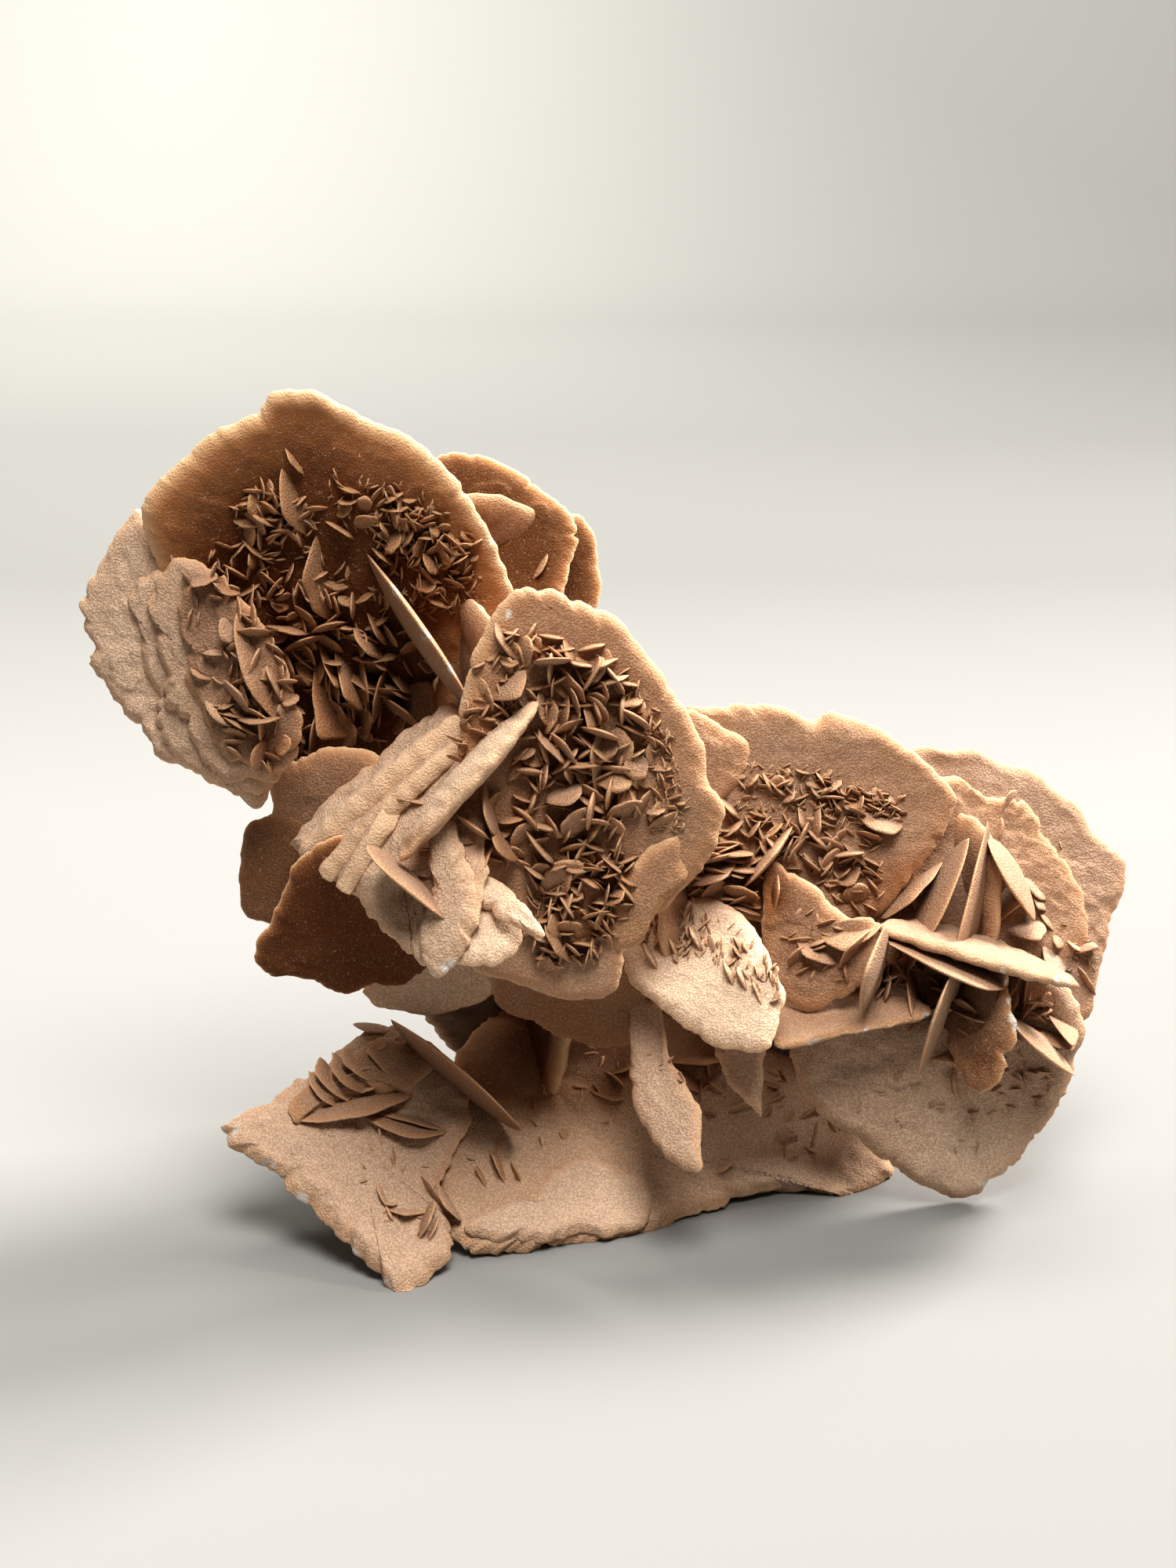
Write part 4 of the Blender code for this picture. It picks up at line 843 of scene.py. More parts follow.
def ragged(ring, chance, roughness, scallop, scallop_width):
    """The ring moved along its normals by waves of many lengths, by nicks with the profile
    -depth exp(-(s/width)^2), and by scallops of height a (|sin| - SCALLOP_LEVEL), where s is
    the way along the ring."""
    edges = np.roll(ring, -1, axis=0) - np.roll(ring, 1, axis=0)
    outward = unit(np.stack((edges[:, 1], -edges[:, 0]), axis=1))
    if (ring * outward).sum() < 0.0:
        outward = -outward
    steps = np.linalg.norm(np.roll(ring, -1, axis=0) - ring, axis=1)
    length = steps.sum()
    along = steps.cumsum()
    move = np.zeros(len(ring))
    round_it = along / length * 2.0 * pi
    for wave, height in RIM_WAVES:
        turns = np.round(length / wave * chance.uniform(0.6, 1.5, WAVES_OF_A_LENGTH))
        phases = chance.uniform(0.0, 2.0 * pi, WAVES_OF_A_LENGTH)
        move += height * np.cos(np.outer(round_it, turns) + phases).mean(axis=1) * 2.0
    nicks = int(length / NICK_SPACING)
    places, depths = chance.uniform(0.0, length, nicks), chance.uniform(*NICK_DEPTHS, nicks)
    widths = chance.uniform(*NICK_WIDTHS, nicks)
    gap = np.abs(along[:, None] - places)
    gap = np.minimum(gap, length - gap)
    move -= (depths * np.exp(-((gap / widths) ** 2))).sum(axis=1)
    move *= roughness
    if scallop > 0.0:
        count = max(3, round(length / scallop_width))
        bent = along / length * count + 0.35 * np.sin(round_it * 3.0 + 1.0)
        size = 0.6 + 0.4 * np.sin(round_it * 5.0 + chance.uniform(0.0, 6.0))
        move += scallop * size * (np.abs(np.sin(pi * bent)) - SCALLOP_LEVEL)
    return ring + outward * move[:, None]


def frosted(spots):
    """How much frost lies at each spot: the highest of exp(-(d/r)^2) over the frosted places,
    where d is the distance from a place, as seen from the eye, and r its size."""
    seen = drawn(spots)
    frost = np.zeros(len(spots))
    for right, up, size in FROST:
        away = ((seen - (right, up)) ** 2).sum(axis=1) / size**2
        frost = np.maximum(frost, np.exp(-away))
    return frost


def painted_shade_and_light_at(spots):
    """How much painted shade each spot gets, with painted light where the sum is below 0: the sum of
    a exp(-(d/r)^2) over the painted places, where d is the distance from a place, as seen from
    the eye, and r its size. A patch starts at its own depth, and is full a little behind it."""
    seen = drawn(spots)
    depth = (spots - EYE) @ AHEAD - STATION_DISTANCE
    painted_amount = np.zeros(len(spots))
    for right, up, size, amount, start in PAINTED_SHADE_AND_LIGHT:
        behind = np.clip((depth - start) / PAINTED_SHADE_FADE, 0.0, 1.0)
        painted_amount += amount * behind * np.exp(-((seen - (right, up)) ** 2).sum(axis=1) / size**2)
    return painted_amount


class Shells:
    """Closed shells gathered into one mesh. Every vertex has its thinness (1 on a rim, 0 away
    from it), which sets the painted glow of light through a rim, its tone (pinkish 0 to golden 1),
    its shade (painted light below 0; deeper brown and painted shade towards 1) and its frost."""

    def __init__(self):
        self.spots, self.quads, self.triangles = [], [], []
        self.finish = {"thin": [], "tone": [], "shade": [], "frost": []}
        self.count = 0

    def add(self, spots, quads, triangles, thin, tone, shade):
        """Adds a shell's vertices, in millimetres about the drawing plane's middle, and faces."""
        self.spots.append(spots)
        self.quads.append(quads + self.count)
        self.triangles.append(triangles + self.count)
        frost = frosted(spots) * (0.3 + 0.7 * thin)
        # Painted shade in recesses and under overhangs, and painted light on paler spots, added to
        # the shade.
        shade = shade + painted_shade_and_light_at(spots)
        for values, label in ((thin, "thin"), (tone, "tone"), (shade, "shade"), (frost, "frost")):
            self.finish[label].append(np.broadcast_to(values, len(spots)))
        self.count += len(spots)

    def build(self, name, material):
        """The gathered shells as one object, in metres, with nothing below the ground."""
        spots = (np.concatenate(self.spots) + DRAWING_MIDDLE) * MM
        spots[:, 2] = np.maximum(spots[:, 2], 0.0)
        quads, triangles = np.concatenate(self.quads), np.concatenate(self.triangles)
        mesh = bpy.data.meshes.new(name)
        mesh.vertices.add(len(spots))
        mesh.vertices.foreach_set("co", spots.astype(np.float32).ravel())
        corners = np.concatenate((quads.ravel(), triangles.ravel()))
        mesh.loops.add(len(corners))
        mesh.loops.foreach_set("vertex_index", corners.astype(np.int32))
        starts = np.concatenate((np.arange(len(quads)) * 4,
                                 len(quads) * 4 + np.arange(len(triangles)) * 3))
        mesh.polygons.add(len(starts))
        mesh.polygons.foreach_set("loop_start", starts.astype(np.int32))
        for label, values in self.finish.items():
            attribute = mesh.attributes.new(label, "FLOAT", "POINT")
            attribute.data.foreach_set("value", np.concatenate(values).astype(np.float32))
        mesh.update(calc_edges=True)
        mesh.shade_smooth()
        mesh.materials.append(material)
        piece = bpy.data.objects.new(name, mesh)
        bpy.context.scene.collection.objects.link(piece)
        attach(piece, "root")
        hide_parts("sand_rose")


def disc_faces(around, rings, start, flip):
    """Quads between rings of a disc and triangles at its middle vertex, which comes last."""
    j = np.arange(around)
    i = np.arange(rings - 1)[:, None]
    a, b = start + i * around + j, start + i * around + (j + 1) % around
    quads = np.stack((a, b, b + around, a + around), axis=-1).reshape(-1, 4)
    last = start + (rings - 1) * around
    triangles = np.stack((last + j, last + (j + 1) % around, np.full(around, last + around)), axis=-1)
    if flip:
        return quads[:, ::-1], triangles[:, ::-1]
    return quads, triangles


def tiled(spots, tiles, chance):
    """Heights of thin round flakes that overlap like roof tiles. A flake of radius r round c
    stands H (low + slope x) high, where x is the way from c along its heading over r, and
    falls to nothing past a slightly wavy circle; the highest flake shows."""
    count, smallest, largest, heading, spread, height, outline = tiles
    middles = scattered(count, outline, chance)
    count = len(middles)
    radius = chance.uniform(smallest, largest, count) / 2.0
    turn = np.radians(heading + chance.uniform(-spread, spread, count))
    high = height * chance.uniform(*FLAKE_SIZES, count)
    lobes, phase = chance.uniform(*FLAKE_LOBES, count), chance.uniform(0.0, 2.0 * pi, count)
    away = (spots[:, None] - middles) / radius[:, None]
    along = away[..., 0] * np.cos(turn) + away[..., 1] * np.sin(turn)
    bearing = np.arctan2(away[..., 1], away[..., 0])
    reach = np.hypot(away[..., 0], away[..., 1]) + lobes * np.cos(3.0 * bearing + phase)
    sloping = FLAKE_LOW + FLAKE_SLOPE * along
    return (high * sloping * step(1.0 - reach, 0.0, FLAKE_EDGE)).max(axis=1)


def plate(shells, rim, plane, thickness, chance, finish, spacing, rear_spacing, bow,
          roughness=1.0, scalloped=USUAL_SCALLOP, relief=1.0, tiles=()):
    """A lens-shaped crystal. A spot at share t of the spoke from the middle to the rim, and d
    from the rim, lies off the plane by +-T/2 (1 - (1 - d/w)^2)^fullness within w of the rim and
    by +-T/2 further in, plus a bow of the whole crystal and the relief of its face."""
    tone, shade, glow = finish
    place, normal = plane
    across = unit(np.cross(UPWARD, normal))
    high = np.cross(normal, across)
    middle = rim.mean(axis=0)
    flat = np.stack(((rim - middle) @ across, (rim - middle) @ high), axis=1)
    ring = ragged(smooth_ring(flat, spacing), chance, roughness, *scalloped)
    if np.cross(ring, np.roll(ring, -1, axis=0)).sum() < 0.0:
        ring = ring[::-1]
    around = len(ring)
    radius = np.linalg.norm(ring, axis=1)
    width = RIM_ROUNDING * thickness
    waves_seed = int(chance.integers(1 << 30))

    def face(gap, side):
        """Rings of one face: in-plane places, lifts off the plane, distances from the rim."""
        inner = np.arange(RIM_STEPS[-1] + gap, radius.mean() - gap * 0.5, gap)
        steps = np.concatenate((RIM_STEPS, inner)) / radius.mean()
        spots = ring[None] * (1.0 - steps)[:, None, None]
        away = radius[None] * steps[:, None]
        spots = np.concatenate((spots.reshape(-1, 2), np.zeros((1, 2))))
        away = np.concatenate((away.ravel(), (radius.mean(),)))
        own = np.random.default_rng(waves_seed)
        form = bow * sum(share * waves(spots, wave, own, BOW_WAVES) for wave, share in BOWS)
        own = np.random.default_rng(waves_seed + (1 if side > 0 else 2))
        near = np.clip(away / width, 0.0, 1.0)
        half = thickness / 2.0 * (1.0 - (1.0 - near) ** 2) ** RIM_FULLNESS
        skin = sum(height * waves(spots, wave, own, count) for wave, height, count in SKIN)
        swell = waves(spots, BLISTERS[0], own, BLISTERS[1])
        skin = skin + BLISTER_HEIGHT * step(swell, BLISTER_FOOT, BLISTER_TOP)
        skin = skin - PIT_DEPTH * step(-swell, PIT_BRIM, PIT_FLOOR)
        skin = relief * step(away, 0.0, SKIN_FADE) * skin
        lift = form * step(away, 0.0, BOW_FADE) + side * (half + skin)
        return spots, lift, away, len(steps)

    front, front_lift, front_away, front_rings = face(spacing, 1.0)
    rear, rear_lift, rear_away, rear_rings = face(rear_spacing, -1.0)

    def in_space(spots, lift):
        """Places in a face's plane, lifted off it, as spots in space."""
        return middle + spots[:, :1] * across + spots[:, 1:] * high + lift[:, None] * normal

    if tiles:
        seen = drawn(in_space(front, front_lift))
        flakes = sum(tiled(seen, one, chance) for one in tiles)
        front_lift = front_lift + step(front_away, 0.0, FLAKE_FADE) * flakes
    rear_spots = in_space(rear[around:], rear_lift[around:])
    spots = np.concatenate((in_space(front, front_lift), rear_spots))
    away = np.concatenate((front_away, rear_away[around:]))
    quads, triangles = disc_faces(around, front_rings, 0, False)
    rear_start = len(front) - around
    rear_quads, rear_triangles = disc_faces(around, rear_rings, rear_start, True)
    shared = rear_quads - rear_start < around
    rear_quads = np.where(shared, rear_quads - rear_start, rear_quads)
    shells.add(spots, np.concatenate((quads, rear_quads)),
               np.concatenate((triangles, rear_triangles)), np.exp(-away / glow), tone, shade)


def blades(shells, start, end, outward, rise, root, thickness, chance, tone, shade, grid,
           edge=1.5, bend=0.05, wobble=0.06, fullness=0.8, evenness=0.7, lumps=0.0):
    """Lens-shaped blades, all at once. At share u from tip to tip and v round the girth a spot is
    start + u L + outward (c + h cos v) + side (b sin(pi u) + T/2 sin(pi u)^e |sin v|^edge),
    where e is the evenness and b the bend. The rim stands rise sin(pi u')^fullness out and the
    root goes root sin(pi u)^0.5 in; c and h are half the difference and half the sum of the two,
    and u' = u^skew sets the highest spot aside. Smooth noise is added outward and sideways,
    as high as lumps says."""
    lengths, girths = grid
    n = len(start)
    along = end - start
    reach = np.linalg.norm(along, axis=1)
    side = unit(np.cross(along, outward))
    outward = unit(np.cross(side, along))
    u = np.linspace(0.0, 1.0, lengths + 1)[1:-1]
    v = np.linspace(0.0, 2.0 * pi, girths, endpoint=False)
    skew = np.exp(chance.uniform(-SKEW, SKEW, (n, 1)))
    arch = np.sin(pi * u)
    pace, phase = chance.uniform(*RIM_SWELLS, (n, 1)), chance.uniform(0.0, 6.0, (n, 1))
    swell = 1.0 + wobble * np.sin(u * pace + phase)
    out = rise[:, None] * np.sin(pi * u ** skew) ** fullness * swell
    inn = root[:, None] * arch**0.5
    centre, half = (out - inn) / 2.0, (out + inn) / 2.0
    thick = thickness[:, None] / 2.0 * arch**evenness
    sway = reach[:, None] * chance.uniform(-bend, bend, (n, 1)) * arch
    round_cos, round_sin = np.cos(v), np.sign(np.sin(v)) * np.abs(np.sin(v)) ** edge
    off = centre[:, :, None] + half[:, :, None] * round_cos
    wide = sway[:, :, None] + thick[:, :, None] * round_sin
    spots = (start[:, None, None] + u[:, None, None] * along[:, None, None]
             + off[..., None] * outward[:, None, None] + wide[..., None] * side[:, None, None])
    if lumps:
        for way in (outward, side):
            noise = waves(spots.reshape(-1, 3), LUMP_LENGTH, chance).reshape(spots.shape[:-1])
            spots = spots + lumps * noise[..., None] * way[:, None, None]
    rows = lengths - 1
    spots = np.concatenate((spots.reshape(n, -1, 3), start[:, None], end[:, None]), axis=1)
    i, j = np.arange(rows - 1)[:, None], np.arange(girths)
    a, b = i * girths + j, i * girths + (j + 1) % girths
    quads = np.stack((a, b, b + girths, a + girths), axis=-1).reshape(-1, 4)
    tip, tail = rows * girths, rows * girths + 1
    j = j.ravel()
    first = np.stack(((j + 1) % girths, j, np.full(girths, tip)), axis=-1)
    base = (rows - 1) * girths
    final = np.stack((base + j, base + (j + 1) % girths, np.full(girths, tail)), axis=-1)
    size = spots.shape[1]
    offsets = (np.arange(n) * size)[:, None, None]
    quads = (quads[None] + offsets).reshape(-1, 4)
    triangles = (np.concatenate((first, final))[None] + offsets).reshape(-1, 3)
    rim = np.abs(half[:, :, None] * (1.0 - np.clip(round_cos, -1.0, 1.0))).reshape(n, -1)
    rim = np.concatenate((rim, np.zeros((n, 2))), axis=1)
    tones, shades = (np.repeat(np.broadcast_to(values, n), size) for values in (tone, shade))
    thin = np.exp(-rim.ravel() / BLADE_GLOW)
    shells.add(spots.reshape(-1, 3), quads, triangles, thin, tones, shades)


def rear_frame(name):
    """Middle, sideways and upwards directions, normal and sizes of a rear plate."""
    right, ahead, up, yaw, pitch, half_width, half_height, thickness = REAR_PLATES[name]
    yaw, pitch = radians(yaw), radians(pitch)
    sideways = np.array((cos(yaw), sin(yaw), 0.0))
    normal = np.array((sin(yaw) * cos(pitch), -cos(yaw) * cos(pitch), sin(pitch)))
    upwards = np.cross(normal, sideways)
    if upwards[2] < 0.0:
        upwards = -upwards
    middle = np.array((right, ahead, up))
    return middle, sideways, upwards, normal, half_width, half_height, thickness


def rear_rim(name):
    """Rim of an oval plate: an ellipse whose radius swells and shrinks in low waves."""
    middle, sideways, upwards, _, half_width, half_height, _ = rear_frame(name)
    phase = REAR_PHASE * len(name)
    around = np.linspace(0.0, 2.0 * pi, REAR_RIM_POINTS, endpoint=False)
    swell = 1.0 + sum(high * np.sin(count * around + phases * phase)
                      for count, phases, high in REAR_WAVES)
    across = half_width * swell * np.cos(around)
    high = half_height * swell * np.sin(around)
    return middle + across[:, None] * sideways + high[:, None] * upwards


def outward_from(start, end, roll):
    """The way blades spring from the lines of their tips: to the eye, rolled about the lines."""
    along = unit(end - start)
    to_eye = EYE - (start + end) / 2.0
    to_eye = unit(to_eye - along * (to_eye * along).sum(axis=-1, keepdims=True))
    roll = np.radians(roll)[..., None]
    return to_eye * np.cos(roll) + np.cross(along, to_eye) * np.sin(roll)


def inside(points, outline):
    """True for points with an odd number of the outline's sides to their right."""
    x, y = points[:, :1], points[:, 1:]
    x0, y0 = np.asarray(outline, dtype=float).T
    x1, y1 = np.roll(x0, -1), np.roll(y0, -1)
    rise = np.where(y1 == y0, 1.0, y1 - y0)
    crosses = (y0 > y) != (y1 > y)
    return (crosses & (x < x0 + (y - y0) / rise * (x1 - x0))).sum(axis=1) % 2 == 1


def scattered(count, outline, chance):
    """Spots spread evenly over an outline."""
    corners = np.asarray(outline, dtype=float)
    low, high = corners.min(axis=0), corners.max(axis=0)
    spots = chance.uniform(low, high, (count * 12, 2))
    return spots[inside(spots, outline)][:count]


def from_rim(points, outline):
    """Distance from each point to the nearest side of the outline."""
    a = np.asarray(outline, dtype=float)
    b = np.roll(a, -1, axis=0)
    side = b - a
    share = ((points[:, None] - a) * side).sum(axis=-1) / (side**2).sum(axis=-1)
    nearest = a + np.clip(share, 0.0, 1.0)[..., None] * side
    return np.linalg.norm(points[:, None] - nearest, axis=-1).min(axis=1)


def grow_plates(shells, names, chance):
    """The named plates and ledges, each with its own character."""
    for name in names:
        *_, thickness, outline = (PLATES | LEDGES)[name]
        plane = plane_of(name)
        roughness, bow, *finish = CHARACTER.get(name, USUAL)
        plate(shells, carried(outline, plane), plane, thickness, chance, finish, SPACING,
              REAR_SPACING, bow, roughness, SCALLOPED.get(name, USUAL_SCALLOP),
              RELIEF * roughness, TILES.get(name, ()))


def grow_thicket(shells, thicket, chance):
    """A thicket's blades: spots spread over its outline, smaller towards its edge, each blade
    laid on the host's plane or heaped up off it, and rolled about the line of its tips."""
    host, count, shortest, longest, flattest, steepest, heading, spread, lift, outline = thicket
    spots = scattered(count, outline, chance)
    count = len(spots)
    depth = np.clip(from_rim(spots, outline) / THICKET_BORDER, 0.0, 1.0)
    size = BORDER_SIZE + (1.0 - BORDER_SIZE) * depth
    length = shortest + (longest - shortest) * chance.random(count) ** SIZE_BIAS * size
    turn = np.radians(heading + chance.uniform(-spread, spread, count))
    half = np.stack((np.cos(turn), np.sin(turn)), axis=1) * length[:, None] / 2.0
    plane = plane_of(host)
    start, end = carried(spots - half, plane), carried(spots + half, plane)
    surface = (LEDGES[host][2] if host in LEDGES else PLATES[host][3]) / 2.0
    heap = lift * chance.random(count) ** HEAP_BIAS * depth
    raised = (surface - SUNK + heap)[:, None] * plane[1]
    tilt = chance.uniform(-TIP_LIFT, TIP_LIFT, count)[:, None] * length[:, None] * plane[1]
    start, end = start + raised - tilt, end + raised + tilt
    roll = flattest + (steepest - flattest) * chance.random(count) ** ROLL_BIAS
    roll = roll * chance.choice((-1.0, 1.0), count)
    outward = outward_from(start, end, roll)
    rise = length * chance.uniform(*RISES, count)
    root = 1.0 + 0.2 * length + 0.6 * heap
    thickness = np.clip(STOUTNESS * length, THINNEST, THICKEST) * chance.uniform(0.75, 1.25, count)
    _, _, host_tone, host_shade, _ = CHARACTER.get(host, USUAL)
    tone = host_tone + chance.uniform(-0.3, 0.3, count)
    shade = BLADE_SHADE * host_shade + chance.uniform(-0.1, 0.15, count)
    small = length < SMALL_BLADE
    for picked, grid in ((small, SMALL_GRID), (~small, LARGE_GRID)):
        if picked.any():
            blades(shells, start[picked], end[picked], outward[picked], rise[picked], root[picked],
                   thickness[picked], chance, tone[picked], shade[picked], grid,
                   fullness=THICKET_FULLNESS, evenness=THICKET_EVENNESS)


def grow_blades(shells, drawn_blades, chance):
    """The blades that are drawn one by one on their hosts."""
    rows = [(host, *blade) for host, on_host in drawn_blades.items() for blade in on_host]
    for host, right, up, other_right, other_up, rise, roll, thickness in rows:
        start, end = carried(((right, up), (other_right, other_up)), plane_of(host))
        start, end = start[None], end[None]
        outward = outward_from(start, end, np.array((float(roll),)))
        _, _, tone, shade, _ = CHARACTER.get(host, USUAL)
        blades(shells, start, end, outward, np.array((float(rise),)), np.array((BLADE_ROOT,)),
               np.array((SLIMNESS * thickness,)), chance, tone + chance.uniform(-0.2, 0.2),
               BLADE_SHADE * shade + chance.uniform(-0.1, 0.1), DRAWN_GRID)


def grow_knives(shells, chance):
    """The big blades, lumpy where their edge is blunt."""
    for name, knife in KNIVES.items():
        start, end = at_depth(*knife[0:3])[None], at_depth(*knife[3:6])[None]
        rise, root, roll, thickness = (np.array((float(x),)) for x in knife[6:])
        edge, evenness, tone, shade = KNIFE_CHARACTER.get(name, USUAL_KNIFE)
        blades(shells, start, end, outward_from(start, end, roll), rise, root, thickness, chance,
               tone, shade, KNIFE_GRID, edge=edge, bend=KNIFE_BEND, wobble=KNIFE_WOBBLE,
               evenness=evenness, lumps=LUMP_HEIGHT if edge < LUMPY_EDGE else 0.0)


def grow_rear(shells, chance):
    """The oval plates inside and behind."""
    for name in REAR_PLATES:
        middle, _, _, normal, _, _, thickness = rear_frame(name)
        finish = (chance.uniform(*REAR_TONES), REAR_SHADE, REAR_GLOW)
        plate(shells, rear_rim(name), (middle, normal), thickness, chance, finish,
              REAR_SPACING, REAR_SPACING, REAR_BOW)


def grow_rear_blades(shells, chance):
    """Blades on the rear faces: those of the solid, and many smaller ones round them."""
    drawn_chance = np.random.default_rng(REAR_SEED)
    for name, (count, shortest, longest) in REAR_BLADES.items():
        middle, sideways, upwards, normal, half_width, half_height, thickness = rear_frame(name)
        spread = (2.0 * pi, REAR_BLADE_SPREAD, pi, 1.0)
        for _ in range(count):
            bearing, share, heading, lean = drawn_chance.random(4) * spread
            length = drawn_chance.uniform(shortest, longest)
            spot = middle + sideways * half_width * share * cos(bearing)
            spot = spot + upwards * half_height * share * sin(bearing)
            along = (sideways * cos(heading) + upwards * sin(heading)) * length
            outward = -normal + (lean - 0.5) * unit(np.cross(along, normal))
            blades(shells, (spot - along / 2.0)[None], (spot + along / 2.0)[None], outward[None],
                   np.array((REAR_BLADE_RISE * length,)), np.array((BLADE_ROOT,)),
                   np.array((REAR_BLADE_THICKNESS,)), chance, chance.uniform(*REAR_TONES),
                   REAR_SHADE, REAR_BLADE_GRID)
        small = REAR_SMALL_BLADES
        bearing = chance.uniform(0.0, 2.0 * pi, small)
        share = REAR_SMALL_SPREAD * chance.random(small) ** 0.7
        growth = REAR_SMALL_GROWTH * chance.random(small) ** SIZE_BIAS
        size = REAR_SMALL_SHORTEST + growth * (1.1 - share)
        heading = chance.uniform(0.0, pi, small)
        spots = middle + np.outer(half_width * share * np.cos(bearing), sideways)
        spots = spots + np.outer(half_height * share * np.sin(bearing), upwards)
        spots = spots - (thickness / 2.0 - SUNK) * normal
        along = np.outer(np.cos(heading), sideways) + np.outer(np.sin(heading), upwards)
        along = along * size[:, None]
        lean = chance.uniform(-1.0, 1.0, (small, 1))
        outward = -normal + lean * unit(np.cross(along, normal))
        girth = np.clip(REAR_SMALL_STOUTNESS * size, REAR_SMALL_THINNEST, REAR_SMALL_THICKEST)
        blades(shells, spots - along / 2.0, spots + along / 2.0, outward,
               size * chance.uniform(*REAR_SMALL_RISES, small), 1.0 + 0.2 * size, girth, chance,
               chance.uniform(*REAR_TONES, small), REAR_SHADE, REAR_SMALL_GRID)


def sandy_gypsum():
    """Sandy gypsum: pinkish to golden brown by tone, cloudy, peppered with grains, and painted paler
    and warmer where a rim is thin, as a painted glow of light through it. Its shade paints it paler
    below 0 and deeper brown and shaded towards 1."""
    material = bpy.data.materials.new("sandy_gypsum")
    material.use_nodes = True
    nodes, links = material.node_tree.nodes, material.node_tree.links
    shader = nodes["Principled BSDF"]
    place = nodes.new("ShaderNodeTexCoord").outputs["Object"]

    def attribute(name):
        """A value that the mesh carries."""
        node = nodes.new("ShaderNodeAttribute")
        node.attribute_name = name
        return node.outputs["Fac"]

    def noise(scale, detail):
        """Soft noise of 0 to 1 through the body."""
        node = nodes.new("ShaderNodeTexNoise")
        node.inputs["Scale"].default_value = scale
        node.inputs["Detail"].default_value = detail
        links.new(place, node.inputs["Vector"])
        return node.outputs["Fac"]

    def ramp(value, low, high, low_value=0.0, high_value=1.0):
        """A straight ramp from low_value at low to high_value at high, level past both."""
        node = nodes.new("ShaderNodeMapRange")
        node.inputs["From Min"].default_value = low
        node.inputs["From Max"].default_value = high
        node.inputs["To Min"].default_value = low_value
        node.inputs["To Max"].default_value = high_value
        links.new(value, node.inputs["Value"])
        return node.outputs["Result"]

    def mix(factor, one, other, kind="MIX"):
        """One colour turned into another by a factor."""
        node = nodes.new("ShaderNodeMix")
        node.data_type = "RGBA"
        node.blend_type = kind
        for socket, value in (("Factor", factor), ("A", one), ("B", other)):
            inputs = [i for i in node.inputs if i.name == socket and i.enabled]
            if isinstance(value, (tuple, float)):
                inputs[0].default_value = value
            else:
                links.new(value, inputs[0])
        return [o for o in node.outputs if o.enabled][0]

    def maths(operation, one, other):
        """Two values added or multiplied."""
        node = nodes.new("ShaderNodeMath")
        node.operation = operation
        for index, value in enumerate((one, other)):
            if isinstance(value, float):
                node.inputs[index].default_value = value
            else:
                links.new(value, node.inputs[index])
        return node.outputs["Value"]

    cloud = ramp(noise(*CLOUDS), 0.35, 0.65)
    thin = attribute("thin")
    body = mix(ramp(attribute("tone"), 0.0, 1.0), PINKISH, GOLDEN)
    body = mix(maths("MULTIPLY", cloud, CLOUDINESS), body, GREYISH)
    shade = attribute("shade")
    # Painted light below 0; towards 1 the crystal's deeper brown and painted shade.
    body = mix(ramp(shade, 0.0, -1.0), body, PAINTED_LIGHT_PALE)
    body = mix(ramp(shade, 0.0, 1.0), body, mix(1.0, body, DEEP_BROWN_AND_PAINTED_SHADE, "MULTIPLY"))
    grains = ramp(noise(*GRAINS), 0.38, 0.62)
    between = ramp(grains, 0.0, 1.0, GRAIN_DEPTH, 0.0)
    body = mix(between, body, mix(1.0, body, SHADE_GRAIN, "MULTIPLY"))
    # Painted glow of light through thin rims, stronger on deeper plates.
    glow = mix(ramp(thin, 0.5, 0.95), PAINTED_INNER_GLOW, PAINTED_RIM_GLOW)
    body = mix(maths("MULTIPLY", thin, ramp(shade, 0.0, 1.0, 0.4, 0.9)), body, glow)
    pale = ramp(noise(*PALE_SPECKS), 0.72, 0.78)
    body = mix(maths("MULTIPLY", pale, SPECK_STRENGTH), body, PALE_GRAIN)
    broken = ramp(attribute("frost"), 0.25, 0.6)
    chips = maths("MULTIPLY", broken, ramp(noise(*CHIPS), 0.42, 0.56))
    body = mix(chips, body, WHITE_FROST)
    links.new(body, shader.inputs["Base Color"])
    shader.inputs["Roughness"].default_value = ROUGHNESS
    shader.inputs["Specular IOR Level"].default_value = SHINE
    shader.inputs["Subsurface Weight"].default_value = SCATTER_WEIGHT
    shader.inputs["Subsurface Radius"].default_value = SCATTER_RADIUS
    shader.inputs["Subsurface Scale"].default_value = SCATTER_SCALE

    bump = nodes.new("ShaderNodeBump")
    bump.inputs["Strength"].default_value = BUMP_STRENGTH
    bump.inputs["Distance"].default_value = BUMP_DISTANCE
    sand = maths("MULTIPLY", grains, GRAIN_HEIGHT)
    crust = maths("MULTIPLY", noise(*CRUST), CRUST_HEIGHT)
    links.new(maths("ADD", sand, crust), bump.inputs["Height"])
    links.new(bump.outputs["Normal"], shader.inputs["Normal"])
    return material


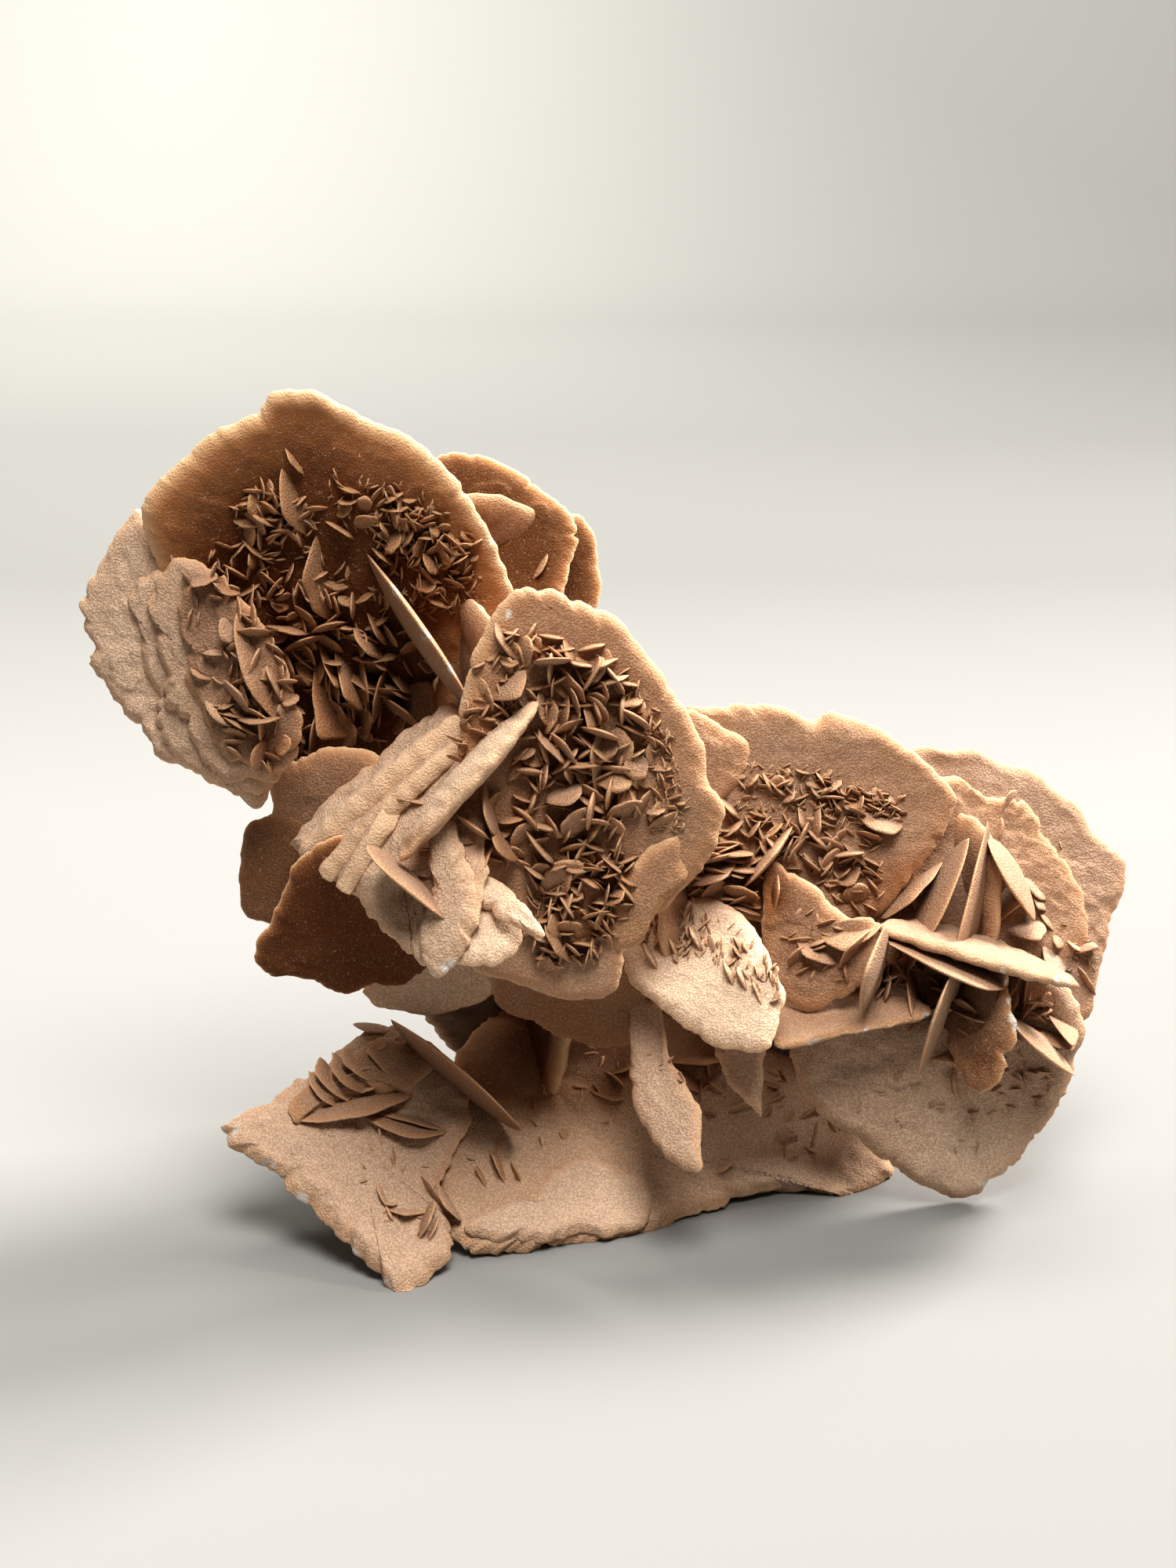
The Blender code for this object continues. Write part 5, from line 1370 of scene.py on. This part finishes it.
def paper():
    """Matt pale paper under the object, whose grey is painted paler and darker along its length and
    across it, to even out how the lamps light it.
    """
    material = bpy.data.materials.new("paper")
    material.use_nodes = True
    nodes, links = material.node_tree.nodes, material.node_tree.links
    shader = nodes["Principled BSDF"]
    apart = nodes.new("ShaderNodeSeparateXYZ")
    links.new(nodes.new("ShaderNodeTexCoord").outputs["Object"], apart.inputs["Vector"])
    share = nodes.new("ShaderNodeMapRange")
    share.inputs["From Min"].default_value = -SWEEP_FRONT
    share.inputs["From Max"].default_value = SWEEP_BACK + SWEEP_RADIUS
    links.new(apart.outputs["Y"], share.inputs["Value"])
    tones = nodes.new("ShaderNodeValToRGB")
    while len(tones.color_ramp.elements) < len(PAPER_PAINTED_GREYS):
        tones.color_ramp.elements.new(0.5)
    for stop, (away, grey) in zip(tones.color_ramp.elements, PAPER_PAINTED_GREYS):
        stop.position = away / (SWEEP_FRONT + SWEEP_BACK + SWEEP_RADIUS)
        stop.color = (*(grey * tint for tint in PAPER_TINT), 1.0)
    links.new(share.outputs["Result"], tones.inputs["Fac"])
    across = nodes.new("ShaderNodeMapRange")
    across.interpolation_type = "SMOOTHSTEP"
    for entry, value in zip(("From Min", "From Max", "To Min", "To Max"), PAPER_PAINTED_ACROSS):
        across.inputs[entry].default_value = value
    links.new(apart.outputs["X"], across.inputs["Value"])
    toned = nodes.new("ShaderNodeVectorMath")
    toned.operation = "SCALE"
    links.new(tones.outputs["Color"], toned.inputs["Vector"])
    links.new(across.outputs["Result"], toned.inputs["Scale"])
    links.new(toned.outputs["Vector"], shader.inputs["Base Color"])
    shader.inputs["Roughness"].default_value = PAPER_ROUGHNESS
    shader.inputs["Specular IOR Level"].default_value = PAPER_SHINE
    return material


def floor_sweep():
    """A sheet that lies level as far as the bend, rises in a quarter circle, y = R sin a and
    z = R (1 - cos a) past the bend's start at the angle a, and stands upright above it."""
    across = np.linspace(-SWEEP_WIDTH / 2.0, SWEEP_WIDTH / 2.0, 3)
    level = np.linspace(-SWEEP_FRONT, SWEEP_BACK, 4)
    bend = np.linspace(0.0, pi / 2.0, BEND_STEPS)[1:]
    wall = SWEEP_BACK + SWEEP_RADIUS
    y = np.concatenate((level, SWEEP_BACK + SWEEP_RADIUS * np.sin(bend), (wall,)))
    z = np.concatenate((np.zeros(len(level)), SWEEP_RADIUS * (1.0 - np.cos(bend)), (SWEEP_TOP,)))
    spots = np.stack(np.broadcast_arrays(across[None], y[:, None], z[:, None]), axis=-1)
    row = len(across)
    i, j = np.arange(len(y) - 1)[:, None], np.arange(row - 1)
    a = i * row + j
    quads = np.stack((a, a + 1, a + row + 1, a + row), axis=-1).reshape(-1, 4)
    mesh = bpy.data.meshes.new("paper_sweep")
    mesh.from_pydata(spots.reshape(-1, 3).tolist(), [], quads.tolist())
    mesh.shade_smooth()
    mesh.materials.append(paper())
    sweep = bpy.data.objects.new("paper_sweep", mesh)
    bpy.context.scene.collection.objects.link(sweep)


def aimed(place, target):
    """A turn that looks from place to target."""
    ahead = unit(np.asarray(target, dtype=float) - np.asarray(place, dtype=float))
    right = unit(np.cross(ahead, (0.0, 0.0, 1.0)))
    up = np.cross(right, ahead)
    return Matrix(np.stack((right, up, -ahead), axis=1).tolist()).to_4x4()


def area_light(name, place, target, size, power, colour):
    """A square lamp at place that faces target."""
    lamp = bpy.data.lights.new(name, "AREA")
    lamp.size = size
    lamp.energy = power
    lamp.color = colour
    light = bpy.data.objects.new(name, lamp)
    bpy.context.scene.collection.objects.link(light)
    light.matrix_world = Matrix.Translation(place) @ aimed(place, target)


def lights_and_camera():
    """A sky panel overhead, a window behind on the right, a lamp on the backdrop, and the camera
    at the eye, square to the drawing plane."""
    scene = bpy.context.scene
    scene.view_settings.view_transform = "Standard"
    scene.view_settings.look = "Medium High Contrast"
    world = bpy.data.worlds.new("room")
    scene.world = world
    world.use_nodes = True
    room = world.node_tree.nodes["Background"]
    room.inputs["Color"].default_value = ROOM_COLOUR
    room.inputs["Strength"].default_value = ROOM_STRENGTH
    for lamp in LAMPS:
        area_light(*lamp)
    camera = bpy.data.objects.new("camera", bpy.data.cameras.new("camera"))
    camera.data.lens = LENS
    camera.data.sensor_width = FILM
    camera.data.clip_start = 0.01
    scene.collection.objects.link(camera)
    turn = Matrix(np.stack((RIGHT, UPWARD, -AHEAD), axis=1).tolist()).to_4x4()
    camera.matrix_world = Matrix.Translation((DRAWING_MIDDLE + EYE) * MM) @ turn
    scene.camera = camera


def sand_rose():
    """All the pieces that stand for the solid, each grown with a chance seeded from SEED."""
    material = sandy_gypsum()
    for name, plates in (("left_plates", LEFT), ("middle_plates", MIDDLE), ("under_plates", UNDER),
                         ("right_plates", RIGHT_HAND), ("base_plates", BASE)):
        shells = Shells()
        grow_plates(shells, plates, np.random.default_rng(SEED + len(plates)))
        shells.build(name, material)
    shells = Shells()
    grow_rear(shells, np.random.default_rng(SEED))
    shells.build("rear_plates", material)
    shells = Shells()
    chance = np.random.default_rng(SEED + 1)
    grow_knives(shells, chance)
    grow_blades(shells, BLADES, chance)
    grow_blades(shells, SMALL_BLADES, chance)
    shells.build("knives", material)
    for side, thickets in THICKETS.items():
        chance = np.random.default_rng(SEED + len(thickets))
        shells = Shells()
        for thicket in thickets:
            grow_thicket(shells, thicket, chance)
        shells.build(side + "_thickets", material)
    shells = Shells()
    grow_rear_blades(shells, np.random.default_rng(SEED + 7))
    shells.build("rear_blades", material)


floor_sweep()
lights_and_camera()
sand_rose()
